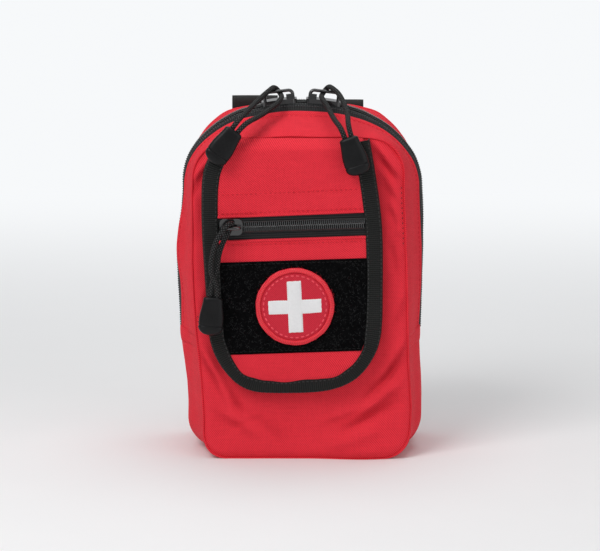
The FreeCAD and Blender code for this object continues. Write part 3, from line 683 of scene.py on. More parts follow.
def half_rim(spec, inset=0.0, base=0.0):
    """x and z from the base's middle to the crown's middle: the base, a corner arc, the side in
    runs that part at z 58 and 66, a shoulder arc and the crown's arc."""
    half, top, crown, shoulder, corner = spec
    half, crown_r, shoulder, corner = half - inset, crown - inset, shoulder - inset, corner - base
    crown_z = top - crown
    sx = half - shoulder
    sz = crown_z + math.sqrt((crown_r - shoulder) ** 2 - sx ** 2)
    turn = math.asin(sx / (crown_r - shoulder))

    def steps(n):
        """n even shares from 0 up to, but without, 1."""
        return np.arange(n) / n

    a = steps(N_CORNER) * math.pi / 2
    s = math.pi / 2 + (turn - math.pi / 2) * steps(N_SHOULDER)
    c = turn * (1 - np.arange(N_CROWN + 1) / N_CROWN)
    x = [(half - corner) * steps(N_BASE), half - corner + corner * np.sin(a)]
    z = [np.full(N_BASE, base), base + corner - corner * np.cos(a)]
    for low, high, n in ((base + corner, 58, N_LOW), (58, 66, N_MID), (66, sz, N_SIDE)):
        x.append(np.full(n, half))
        z.append(low + (high - low) * steps(n))
    x += [sx + shoulder * np.sin(s), crown_r * np.sin(c)]
    z += [sz + shoulder * np.cos(s), crown_z + crown_r * np.cos(c)]
    return np.concatenate(x), np.concatenate(z)


def loop_rim(spec, y, inset=0.0, base=0.0, start=0):
    """The whole outline seen from the front: the right half up, then the left half down.
    With start, an open arch that leaves out the first rows of both halves."""
    x, z = half_rim(spec, inset, base)
    right = np.stack([x, np.full_like(x, y), z], 1)[start:]
    left = right[::-1] * (-1, 1, 1)
    return np.concatenate([right, left[1:] if start else left[1:-1]])


SIDE_Z = [0, 8, 14, 21, 28, 41, 54, 61, 66, 72, 85, 99, 105, 118, 132, 138, 145, 151, 158, 164, 171]
LEFT_MIDDLE = [0.6, 4.2, 4.6, 4.2, 3.7, 2.6, 1.8, 1.2, 0.6, 0.3, -0.4, -1.0, -0.7, 0.8, 2.0, 2.4,
               2.4, 2.2, 2.0, 1.8, 1.6]
RIGHT_MIDDLE = [2.6, -0.6, -1.7, -1.2, -1.4, -1.3, -1.9, -1.7, -1.5, -1.4, -1.1, -1.0, -0.8, -0.6,
                -0.7, -0.9, -1.2, -1.5, -1.6, -1.8, -2.4]
FRONT_Z = [0, 13, 27, 45, 52, 68, 80, 100, 118, 142, 150, 165, 174]
LEFT_FRONT = [2.0, 3.2, 2.7, 1.8, 1.1, -0.5, -1.6, -2.6, -2.7, -2.6, -2.2, -0.8, 0]
RIGHT_FRONT = [1.6, 2.4, 3.4, 2.1, 1.7, 1.2, 1.1, 0.8, 0.0, -1.2, -1.4, -0.8, 0]


def soften(points, seed=3, ripple=0.32):
    """Moves the shell's points as slack cloth lies: the sides out or in by smooth profiles of z
    for the front edge and the zip, then long waves, then a few creases."""
    x, y, z = points[..., 0], points[..., 1], points[..., 2]
    near = np.clip((0 - y) / 33, 0, 1)
    left = near * profile(z, FRONT_Z, LEFT_FRONT) + (1 - near) * profile(z, SIDE_Z, LEFT_MIDDLE)
    right = near * profile(z, FRONT_Z, RIGHT_FRONT) + (1 - near) * profile(z, SIDE_Z, RIGHT_MIDDLE)
    reach = smooth(14, 52, np.abs(x)) * (1 - smooth(172, 184, z))
    dx = np.where(x < 0, left, right) * reach
    calm = smooth(0.0, 10.0, z)
    wave = waves(x, y, z, 34, seed) * 0.7 + waves(x, y, z, 13, seed + 1) * 0.3
    dy = wave * ripple * (np.abs(y) > 20) * smooth(0, 30, z)
    dx = dx + wave * ripple * smooth(40, 56, np.abs(x)) * calm
    dz = waves(x, y, z, 30, seed + 2) * ripple * smooth(150, 172, z)
    flank = smooth(20, 50, np.abs(x)) * (1 - smooth(146, 178, z)) * smooth(2, 18, z)
    slack = 1 + 0.35 * np.sin(z / 9.0 + 1.0) * (x < 0) + 0.2 * np.sin(z / 13.0) * (x > 0)
    bulge = 2.3 + 1.1 * (x < 0) * np.exp(-((z - 103) / 18) ** 2)
    swell = bulge * np.exp(-((y + 10.5) / 5.5) ** 2) * slack + 0.8 * np.exp(-((y - 10) / 5.0) ** 2)
    dx = dx + np.sign(x) * flank * swell
    shoulder = smooth(30, 46, np.abs(x)) * (1 - smooth(57, 66, np.abs(x))) * smooth(138, 164, z)
    dz = dz + shoulder * (1.6 * smooth(11, 24, y) - 1.5 * np.exp(-(y / 10) ** 2))
    crown = 2.2 * np.exp(-(x / 30) ** 2) * smooth(160, 174, z)
    dz = dz - crown * smooth(-5, -11, y) * smooth(-31, -14, y)
    sag = (2.2 + 3.4 * np.exp(-((x - 30) / 15) ** 2)) * np.exp(-((z - 4) / 7) ** 2)
    dy = dy - sag * smooth(-17, -31, y)
    fade = smooth(-20, -32, y)
    folds = 0
    for start, end, width, depth in CREASES:
        folds = folds + crease(x, z, start, end, width, depth)
    return points + np.stack([dx, dy - folds * fade, dz], -1)


CREASES = [((-54, 62), (-37, 26), 2.2, 2.4), ((-50, 50), (-31, 20), 3.0, -2.0),
           ((-46, 28), (-18, 11), 3.2, 1.7), ((-28, 20), (-8, 8), 4.4, -1.0),
           ((-49, 96), (-55, 72), 2.0, 1.1), ((55, 66), (40, 40), 2.3, 2.3),
           ((54, 54), (33, 30), 2.5, -2.0), ((53, 42), (28, 22), 2.4, 1.9),
           ((54, 32), (20, 12), 3.0, -1.4), ((44, 16), (12, 7), 3.4, 1.3),
           ((53, 152), (39, 171), 1.6, 2.3), ((55, 160), (45, 171), 1.4, -1.6),
           ((51, 141), (43, 158), 1.6, 1.8), ((47, 136), (52, 124), 2.0, -1.2),
           ((41, 163), (49, 150), 1.3, -1.4), ((-56, 150), (-43, 171), 1.8, 2.1),
           ((-52, 160), (-38, 172), 1.6, -1.6), ((-57, 140), (-50, 157), 1.5, -1.4),
           ((53, 120), (47, 142), 1.8, 1.3), ((-57, 118), (-54, 146), 1.8, 1.1),
           ((51, 96), (47, 118), 2.2, -1.0), ((49, 74), (54, 92), 2.2, 1.0),
           ((36, 30), (10, 20), 2.2, 0.9), ((-40, 16), (-22, 22), 2.4, -0.9)]


def painted_crease_shade(x, z):
    """Painted shade for the folds: how far they turn from soft light that comes from above, across
    each of them: half the difference of their heights 1 mm up and 1 mm down its way, and a little
    more in the valleys."""
    def height(a, b):
        """The height of all folds together."""
        return sum(crease(a, b, *fold) for fold in CREASES)
    lean = 0.6 * np.tanh(x / 12) * np.tanh((z - 100) / 15)
    slope = (height(x + lean, z + 0.8) - height(x - lean, z - 0.8)) / 2
    return np.clip(slope * 0.75 + np.clip(-height(x, z), 0, 3) * 0.12, -0.6, 1)


def ruled(stations, rows, start=0, puff=0.0):
    """Straight rules from one outline to the next, then a puff outwards of the given height
    between the first and the last, as sin of the way between the seams."""
    rims = [loop_rim(spec, y, inset, base, start) for spec, y, inset, base in stations]
    parts = []
    for k, n in enumerate(rows):
        t = np.arange(n) / n
        parts.append(rims[k][:, None] * (1 - t)[:, None] + rims[k + 1][:, None] * t[:, None])
    parts.append(rims[-1][:, None])
    grid = np.concatenate(parts, 1)
    if puff:
        normal = outward(grid, not start)
        steps = np.linalg.norm(np.diff(grid, axis=1), axis=2).mean(0)
        t = np.concatenate([[0], np.cumsum(steps)]) / steps.sum()
        lift = puff * hump(t, 0.8)
        lift = lift[None] * smooth(1.5, 12.0, grid[..., 2])
        grid = grid + normal * lift[..., None]
    return grid


def outward(grid, closed):
    """Unit normals of a hoop, pointing away from its middle."""
    along = np.roll(grid, -1, 0) - np.roll(grid, 1, 0)
    if not closed:
        along[0] = grid[1] - grid[0]
        along[-1] = grid[-1] - grid[-2]
    across = np.gradient(grid, axis=1)
    normal = np.cross(along, across)
    normal /= np.linalg.norm(normal, axis=2)[..., None] + 1e-9
    away = grid - np.array([0, 0, 90.0])
    away[..., 1] = 0
    sign = np.sign((normal * away).sum(2).mean())
    return normal * (sign if sign else 1)


def across_fold(piece):
    """Cloth that lies across the front's fold: its transform is baked into its points."""
    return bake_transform(piece)


def shell():
    """Front and back panels, the gussets of both halves and the tub round the base."""
    arch = SEAM_ROW
    front = ruled([(FRONT, -32, 0, 0), (ZIP, -10.4, 3.1, 0)], [20], arch, 1.3)
    piece = surface("front_gusset_cloth", soften(front), "front_flap", RED_CLOTH,
                    ("front_gusset",), facing="round")
    thicken(piece, CLOTH)
    rear = ruled([(ZIP, 10.4, 1.1, 0), (BACK, 30, 0, 0)], [18], arch, 1.0)
    piece = surface("rear_gusset_cloth", soften(rear), "bag", RED_CLOTH,
                    ("rear_gusset",), facing="round")
    thicken(piece, CLOTH)

    tub = ruled([(FRONT, -32, 0, 0), (ZIP, -10, 3, 0), (ZIP, -6, 0.6, 0), (ZIP, -0.05, 0.4, 0)],
                [14, 4, 5], 0, 0.9)
    tub = low_band(tub)
    piece = surface("tub_front_cloth", soften(tub), None, RED_CLOTH, ("base_gusset",),
                    facing="round")
    thicken(piece, CLOTH)
    across_fold(piece)
    tub = ruled([(ZIP, 0.05, 0.4, 0), (ZIP, 6, 0.6, 0), (ZIP, 10, 1, 0), (BACK, 30, 0, 0)],
                [5, 4, 13], 0, 0.9)
    piece = surface("tub_rear_cloth", soften(low_band(tub)), "bag", RED_CLOTH,
                    ("base_gusset",), facing="round")
    thicken(piece, CLOTH)

    seams()
    face_panel("front_panel_cloth", FRONT, -32, -1, ("front_panel", "front_panel_base"))
    face_panel("back_panel_cloth", BACK, 30, 1, ("back_panel",))

    # A narrow folded edge covers each end of the tub where the arch is sewn to it
    for name, stations, rows, body in (
            ("tub_hem_front", ((FRONT, -31.5, -0.1, 0), (ZIP, -10, 2.8, 0), (ZIP, -6, 0.4, 0),
                               (ZIP, -0.4, 0.15, 0)), (14, 4, 5), None),
            ("tub_hem_rear", ((ZIP, 0.4, 0.15, 0), (ZIP, 6, 0.4, 0), (ZIP, 10, 0.8, 0),
                              (BACK, 29.5, -0.1, 0)), (5, 4, 13), "bag")):
        hoop = soften(ruled(stations, rows, 0, 0.9))
        for sign, word, side, low in ((1, "right", hoop, SEAM_ROW - 5),
                                      (-1, "left", hoop[::-1], SEAM_ROW - 6)):
            run = side[low:low + 7].copy()
            t = np.linspace(0, 1, len(run))[:, None]
            run[..., 0] += sign * 0.26 * hump(t, 0.7)
            piece = surface(f"{name}_{word}", run, body, RED_CLOTH, facing="round")
            thicken(piece, 0.5)
            if body is None:
                across_fold(piece)


def seams():
    """Corded seams where the front and back panels meet the gussets: thin ridges round each
    outline, and the sewing machine's needle holes beside the front one."""
    for word, spec, y, radius in (("front", FRONT, -32.5, 0.62), ("back", BACK, 30.5, 0.8)):
        rim = loop_rim(spec, y, -0.12)
        rim = np.roll(rim, len(rim) // 2, axis=0)
        path = even_path(soften(np.concatenate([rim, rim[:1]])), 1.6)[:-1]
        out = unit_rows(away_from(path, path.mean(0)))
        ring = round_ring(out, np.array([[0, 1.0, 0]]), full_turn(8))
        swell = radius * (1 + 0.10 * np.sin(np.arange(len(path)) / 2.3))
        body = None if word == "front" else "bag"
        piece = surface(f"{word}_seam", path[:, None] + ring * swell[:, None, None], body,
                        RED_CLOTH, closed_u=True, closed_v=True)
        if body is None:
            across_fold(piece)
    # Dark needle holes show along the front seam's right side and at one place on the left
    spots = []
    for z0, z1, sign in ((117, 149, 1), (72, 79, -1)):
        z = np.arange(z0, z1, 2.7)
        rim = loop_rim(FRONT, -33.2, 1.35, 0)
        rim = rim[rim[:, 0] * sign > 0]
        order = np.argsort(rim[:, 2])
        side_rows = rim[order][(rim[order][:, 2] > 20) & (rim[order][:, 2] < 150)]
        x = np.interp(z, side_rows[:, 2], side_rows[:, 0])
        spots.append(np.stack([x, np.full_like(z, -33.7), z], 1))
    path = soften(np.concatenate(spots))
    turn = full_turn(8)
    ring = np.stack([0.27 * np.cos(turn), 0 * turn, 0.4 * np.sin(turn)], 1)
    top = path[:, None] + ring[None] + np.array([0, -0.22, 0])
    points = np.concatenate([top, path[:, None] + np.array([0, -0.34, 0])], 1)
    faces = [[k, (k + 1) % 8, 8] for k in range(8)]
    many("needle_holes", points, faces, "front_flap", MOULDED)


def low_band(hoop):
    """The rows of a closed hoop that lie below the arch's seam, the right side first."""
    n = len(hoop)
    order = np.concatenate([np.arange(n - SEAM_ROW, n), np.arange(0, SEAM_ROW + 1)])
    return hoop[order]


def face_panel(name, spec, y, sign, stands_for):
    """Rings of the outline drawn in towards the middle; the face stands 1.6 mm out, less near
    the rim, where it rolls over into the seam as 1 - exp of the distance in."""
    rim = loop_rim(spec, y)
    middle = np.array([0.0, y, spec[1] * 0.5])
    inwards = np.concatenate([[0, 0.25, 0.55, 0.9, 1.4, 2.0, 2.8], np.arange(3.6, 38, 0.9),
                              [40, 43, 46, 49, 51.5, 53.4, 54.8]])
    share = 1 - inwards / 55
    grid = middle + (rim - middle)[:, None] * share[None, :, None]
    roll = 1 - np.exp(-(inwards / 1.1) ** 1.3)
    puff = 0.5 * np.exp(-((inwards - 5) / 4) ** 2)
    grid[..., 1] += sign * (1.6 * roll + puff)[None]
    if sign > 0:
        grid[..., 1] += 0.7 * roll[None]
    grid = soften(grid)
    nu, nv = grid.shape[:2]
    quads, _ = grid_faces(nu, nv, closed_u=True, flip=sign > 0)
    points = grid.reshape(-1, 3)
    inner = (nv * np.arange(nu) + nv - 1)[::-sign]
    corner = np.concatenate([quads.ravel(), inner])
    flat = rim_flat(rim, inwards).reshape(-1, 2)[corner] * MM
    piece = new_piece(name, points, quads.tolist() + [inner.tolist()], "bag" if sign > 0 else None,
                      RED_CLOTH, stands_for, flat)
    if sign < 0:
        # Painted shade: crease shading for a light from above is stored in the fold attribute,
        # which darkens and lightens the red cloth's colour.
        fold = piece.data.attributes.new("fold", "FLOAT", "POINT")
        fold.data.foreach_set("value", painted_crease_shade(points[:, 0], points[:, 2]).astype(np.float32))
    thicken(piece, 1.0)
    return across_fold(piece) if sign < 0 else piece


def rim_flat(rim, inwards):
    """The panel's cloth lies flat, so its UV map is x and z."""
    middle = np.array([0.0, 0.0, rim[:, 2].max() * 0.5])
    share = 1 - inwards / 55
    grid = middle + (rim * (1, 0, 1) - middle)[:, None] * share[None, :, None]
    return grid[..., [0, 2]]


shell()


# Zip pulls: each cord goes from its grip round the slider's bar and back into the grip

CROWN_Z, TILT, BAR_REACH = 84.0, math.radians(6.5), 110.7536
WRAP, STEP, LEAD, SPACING = 2.65, 1.55, 5.5, 3.6


def at_bar(sign, along, y, lift):
    """A point by a main slider's bar: along it outwards, y deep, lifted away from the crown."""
    reach = BAR_REACH + lift
    return (sign * (reach * math.sin(TILT) + along * math.cos(TILT)), y,
            CROWN_Z + reach * math.cos(TILT) - along * math.sin(TILT))


def unit(vector):
    """A vector at a length of 1."""
    vector = np.array(vector, float)
    return vector / np.linalg.norm(vector)


def grip_frame(across, along):
    """Side, out and down vectors of a grip that hangs along one way and lies across another."""
    down = unit(along)
    out = unit(np.cross(across, down))
    return unit(np.cross(down, out)), out, down


def nurbs_line(name, points):
    """Points read from one smooth NURBS line of order 3 with the route's points as its controls."""
    data = bpy.data.curves.new(name, "CURVE")
    data.dimensions = "3D"
    data.resolution_u = 32
    line = data.splines.new("NURBS")
    line.points.add(len(points) - 1)
    controls = np.concatenate([np.array(points, float) * MM, np.ones((len(points), 1))], 1)
    line.points.foreach_set("co", controls.ravel())
    line.order_u = 3
    line.use_endpoint_u = True
    carrier = bpy.data.objects.new(name, data)
    mesh = bpy.data.meshes.new_from_object(carrier)
    spots = np.empty(len(mesh.vertices) * 3)
    mesh.vertices.foreach_get("co", spots)
    bpy.data.objects.remove(carrier)
    bpy.data.curves.remove(data)
    bpy.data.meshes.remove(mesh)
    return spots.reshape(-1, 3) / MM


def carried_frames(path):
    """Side and lift vectors carried along a path with the least turn."""
    tangent = unit_rows(np.gradient(path, axis=0))
    side = np.cross(tangent[0], (0.3, 0.9, 0.2))
    sides = []
    for way in tangent:
        side = side - way * (side @ way)
        side = side / np.linalg.norm(side)
        sides.append(side)
    sides = np.array(sides)
    return sides, np.cross(tangent, sides)


def braided(name, points, body, stands_for):
    """A round braid along the line: its radius dips between two crossing families of strands."""
    read = nurbs_line(name + "_line", points)
    path = even_path(read, 0.36)
    sides, lifts = carried_frames(path)
    turn = full_turn(26)
    run = np.arange(len(path)) * 0.36
    one = np.abs(np.sin(math.pi * run[:, None] / 2.1 + 3 * turn[None]))
    two = np.abs(np.sin(math.pi * run[:, None] / 2.1 - 3 * turn[None]))
    radius = 1.4 * (0.88 + 0.12 * np.maximum(one, two))
    grid = path[:, None] + round_ring(sides, lifts, turn) * radius[..., None]
    piece = surface(name, grid, body, BRAID, stands_for, closed_v=True, caps=True)
    return piece


def oval(width, depth, n=44, power=3.4):
    """A rounded rectangle: a superellipse of the given width and depth."""
    turn = full_turn(n)
    c, s = np.cos(turn), np.sin(turn)
    x = np.sign(c) * np.abs(c) ** (2 / power) * width / 2
    y = np.sign(s) * np.abs(s) ** (2 / power) * depth / 2
    return x, y


def grip_pieces(name, top, across, along, body):
    """A moulded grip in two parts with a groove between them: superellipse sections whose width
    and depth follow smooth profiles of the distance down the pull, with a dished middle."""
    side, out, down = grip_frame(across, along)
    top = np.array(top, float)
    pieces = []
    runs = {"grip": np.array([0, 0.12, 0.5, 1.1, 2, 3.2, 4.6, 6, 7.6, 9.2, 10.8, 12.2, 13.4, 14.4,
                              15.0, 15.25, 15.4]),
            "cap": np.array([15.42, 15.6, 15.9, 16.4, 17.0, 17.7, 18.4, 19.1, 19.7, 20.2, 20.5,
                             20.66, 20.7])}
    for word, run in runs.items():
        rings = []
        for d in run:
            width = 10.2 + 2.9 * smooth(1.0, 12.5, d)
            depth = 5.6 + 1.0 * smooth(0, 12, d)
            if word == "grip":
                ease = 1 - 0.34 * (1 - min(1, d / 1.3)) ** 2
                ease *= 1 - 0.06 * (1 - min(1, (15.4 - d) / 0.5)) ** 2
                depth_ease = ease
            else:
                t = np.clip((d - 15.42) / 5.28, 0, 1)
                lip = 1 - 0.07 * (1 - min(1, (d - 15.42) / 0.5))
                ease = max(math.sqrt(max(0.0, 1 - t ** 2.6)) * lip, 0.16)
                depth_ease = max(max(0.0, 1 - t ** 3.2) ** 0.5 * lip, 0.2)
            x, y = oval(width * ease, depth * depth_ease)
            dish = 0.35 * np.exp(-(x / 3.2) ** 2) * np.exp(-((d - 8.5) / 4.0) ** 2)
            y = y - np.sign(y) * dish * (np.abs(y) > 1)
            rings.append(top + x[:, None] * side + y[:, None] * out + d * down)
        grid = np.array(rings)
        pieces.append(surface(f"{name}_{word}_moulded", grid, body, MOULDED,
                              (f"{name}_{word}",), closed_v=True, caps=True))
    return pieces


def pull(name, top, across, along, near, far, body):
    """A grip with its cap, and the cord that leaves it, goes round a bar and comes back."""
    side, _, down = grip_frame(across, along)
    top = np.array(top, float)
    first = top + side * SPACING / 2
    last = top - side * SPACING / 2
    route = [first, first - down * LEAD, *near, *far, last - down * LEAD, last]
    mates = grip_pieces(name, top, across, along, body)
    braided(name + "_braid", route, body, (name + "_cord",))


def pulls():
    """The routes of the three cords, from their own grips to the bars of their sliders."""
    s, w = STEP, WRAP
    pull("left_pull", (-34.9, -43.5, 178.6), (0.81, 0, -0.587), (-0.587, -0.04, -0.81),
         [(-21.4, -29, 184.6), (-13, -16, 189.2), at_bar(-1, -s, -8.2, -w), at_bar(-1, -s, w, -w)],
         [at_bar(-1, s, w, w), at_bar(-1, 4.6, -7, 1.8), (-21.8, -16, 192.4), (-27.8, -31, 188.2)],
         "left_pull")
    pull("right_pull", (24.4, -43.5, 174.9), (-0.95, 0, -0.307), (0.307, -0.04, -0.95),
         [(17, -30, 182.8), (13.9, -17.5, 188), at_bar(1, -s, -8.2, -w), at_bar(1, -s, w, -w)],
         [at_bar(1, s, w, w), at_bar(1, 3.6, -6, 3), (20.6, -15, 194), (24.4, -30, 186.4)],
         "right_pull")
    x, y, z = -37.2, -46.2536, 127.0
    pull("pocket_pull", (x - 9.4, y, 90.4), (-1, 0, 0.09), (-0.09, 0, -1),
         [(x - 7.4, y + 1, 104.5), (x - 6.5, y + w - 0.3, 112.5), (x - 4.2, y + w, 119.5),
          (x + s, y + w, z + w)],
         [(x - s, y - w, z + w), (x - 7.6, y - w, 121.5), (x - 10.0, y - w + 0.4, 112.5),
          (x - 10.8, y - 1, 103.5)],
         "pocket_pull")


pulls()


# Front pocket: its panels, the binding round its edge, the loop field and the red stitching

POCKET_Y, LOOP_Y = -39.6, -40.42
PATCH = np.array([-3.5, 84.2])
PATCH_R, RIM_W = 20.8, 2.6
BINDING_LINE = [(-43.2, 173.2), (-46.6, 168.0), (-50.2, 161.5), (-52.0, 156.0), (-52.9, 148.0),
                (-53.1, 134.0), (-52.7, 118.0), (-51.9, 105.0), (-51.1, 92.0), (-50.3, 78.0),
                (-49.4, 66.5), (-47.6, 59.5), (-44.6, 53.0), (-40.3, 47.0), (-35.8, 42.2),
                (-30.0, 38.4), (-23.0, 36.6), (-12.0, 36.3), (0.0, 36.4), (9.0, 36.9), (16.5, 38.1),
                (23.6, 40.6), (29.4, 44.0), (34.0, 48.6), (37.9, 54.2), (41.0, 60.6), (42.6, 67.5),
                (43.2, 76.0), (43.3, 90.0), (43.3, 104.0), (43.2, 116.0), (42.7, 127.0),
                (41.7, 137.0), (40.5, 146.0), (39.2, 154.0), (37.9, 162.0), (36.6, 169.0),
                (35.9, 173.2)]


def rounded_line(points, pitch=0.8, spread=2.4):
    """A line through the points, walked evenly and rounded by a Gaussian; its ends stay put."""
    points = np.array(points, float)
    total = run_of(points)[-1]
    line = points_at(points, np.linspace(0, total, int(total / pitch)))
    reach = np.arange(-int(3 * spread / pitch), int(3 * spread / pitch) + 1)
    kernel = np.exp(-0.5 * (reach * pitch / spread) ** 2)
    kernel /= kernel.sum()
    pad = len(reach) // 2
    head = 2 * line[0] - line[pad:0:-1]
    tail = 2 * line[-1] - line[-2:-pad - 2:-1]
    padded = np.concatenate([head, line, tail])
    return np.stack([np.convolve(padded[:, k], kernel, "valid") for k in range(line.shape[1])], 1)


EDGE = rounded_line(BINDING_LINE)
EDGE_RUN = run_of(EDGE)
EDGE_WAY = unit_rows(np.gradient(EDGE, axis=0))
EDGE_IN = np.stack([-EDGE_WAY[:, 1], EDGE_WAY[:, 0]], 1)      # turns the way left: into the pocket


def strip_width(edge):
    """The binding is 9 mm wide down its sides and 7.2 mm round its foot."""
    return 7.2 + 1.8 * smooth(44, 70, edge[:, 1]) + 0.12 * np.sin(EDGE_RUN / 9.0)


def binding():
    """A folded tape swept round the pocket's edge: from the panel up its side wall, over a soft
    edge, and flat to its inner edge, which lies 0.8 mm proud; slow waves loosen it at the foot."""
    width = strip_width(EDGE)
    across = np.array([0.0, 0.02, 0.05, 0.09, 0.15, 0.24, 0.36, 0.50, 0.64, 0.78, 0.88, 0.94, 0.975,
                       1.0, 1.0])
    rise = np.array([-33.9, -36.4, -38.6, -39.7, -40.22, -40.44, -40.5, -40.52, -40.5, -40.46,
                     -40.42, -40.36, -40.2, -39.9, -39.5])
    wavy = np.sin(EDGE_RUN / 4.6 + 0.4) * 0.42 + np.sin(EDGE_RUN / 2.3 + 1.3) * 0.12
    wavy = wavy * (1 - smooth(52, 84, EDGE[:, 1])) + 0.05 * np.sin(EDGE_RUN / 7.1)
    inner = wavy * 1.1
    spot = EDGE[:, None] + EDGE_IN[:, None] * (across[None] * width[:, None]
                                              + inner[:, None] * across[None] ** 3)[..., None]
    y = rise[None] - 0.22 * np.sin(EDGE_RUN / 6.1 + 0.6)[:, None] * np.sin(np.pi * across)[None] \
        * (1 - smooth(48, 80, EDGE[:, 1]))[:, None]
    grid = np.stack([spot[..., 0], y, spot[..., 1]], -1)
    piece = surface("binding_tape", grid, None, BINDING_CLOTH,
                    ("binding_left", "binding_right", "binding_base"), facing=TO_FRONT)
    thicken(piece, 0.5)
    across_fold(piece)

    # Stitches run round both edges of the binding and hold it down
    for word, share, pitch in (("inner", 0.885, 2.3), ("outer", 0.13, 2.3)):
        line = EDGE + EDGE_IN * (width * share + inner * share ** 3)[:, None]
        height = np.interp(share, across, rise)
        lift = -0.22 * np.sin(EDGE_RUN / 6.1 + 0.6) * math.sin(math.pi * share) \
            * (1 - smooth(48, 80, EDGE[:, 1]))
        path = np.stack([line[:, 0], height + lift - 0.02, line[:, 1]], 1)
        stitches(f"binding_stitch_{word}", path, pitch, 0.30, TO_FRONT, None,
                 BLACK_THREAD, fold=True)


def stitches(name, path, pitch, radius, up, body, finish, fold=False, share=0.66, start=0.6):
    """Short threads along a path: half-sunk capsules, each a ring profile of six stations whose
    radius follows a rounded end, with a gap to the next."""
    spots, _ = walk(path, pitch, start)
    ahead, _ = walk(path, pitch, start + pitch * share)
    n = min(len(spots), len(ahead))
    a, b = spots[:n], ahead[:n]
    way = unit_rows(b - a)
    up = np.broadcast_to(np.array(up, float), way.shape)
    side = unit_rows(np.cross(way, up))
    top = np.cross(side, way)
    t = np.array([0, 0.12, 0.35, 0.65, 0.88, 1.0])
    fat = np.array([0.25, 0.8, 1.0, 1.0, 0.8, 0.25]) * radius
    sink = np.array([0.9, 0.25, 0.0, 0.0, 0.25, 0.9]) * radius
    turn = full_turn(6)
    along = a[:, None] + (b - a)[:, None] * t[None, :, None]
    along = along - top[:, None] * sink[None, :, None]
    ring = side[:, None, None] * np.cos(turn)[None, None, :, None] \
        + top[:, None, None] * np.sin(turn)[None, None, :, None]
    points = along[:, :, None] + ring * fat[None, :, None, None]
    faces = tube_faces(6, 6, points[0])
    piece = many(name, points.reshape(n, 36, 3), faces, body, finish)
    if fold:
        across_fold(piece)
    return piece


def edge_x(z, side, inset):
    """x of the binding's outer edge at height z, drawn in by inset; side -1 left and 1 right."""
    low = int(np.argmin(EDGE[:, 1]))
    if side < 0:
        return np.interp(z, EDGE[:low, 1][::-1], EDGE[:low, 0][::-1]) + inset
    return np.interp(z, EDGE[low:, 1], EDGE[low:, 0]) - inset


def zip_line(x):
    """The pocket zip's middle line rises a little to the right."""
    return 126.6 + 0.032 * (np.asarray(x) + 37.2)


def pocket_face(name, z, finish, stands_for, lift, seed, columns=80, ripple=0.25, body=None,
                inset=4.0, ends=0.0, slope=0.0):
    """A flat field between the binding's two strips: rows of constant z, x from edge to edge, and
    y with quiet waves that die out at its sides."""
    slope = np.broadcast_to(np.asarray(slope, float), z.shape)
    left = edge_x(z, -1, inset)
    right = edge_x(z, 1, inset)
    t = np.linspace(0, 1, columns)
    x = left[:, None] + (right - left)[:, None] * t[None]
    zz = z[:, None] + slope[:, None] * x
    calm = hump(t, 0.5)[None]
    wave = waves(x, 0 * x, zz, 30, seed) * 0.7 + waves(x, 0 * x, zz, 12, seed + 1) * 0.3
    y = lift - ripple * calm * wave
    if ends:
        row = np.linspace(0, 1, len(z))[:, None]
        y = y + ends * (1 - hump(row, 0.12))
    grid = np.stack([x, y, zz], -1)
    piece = surface(name, grid, body, finish, stands_for, facing=TO_FRONT)
    return piece, grid


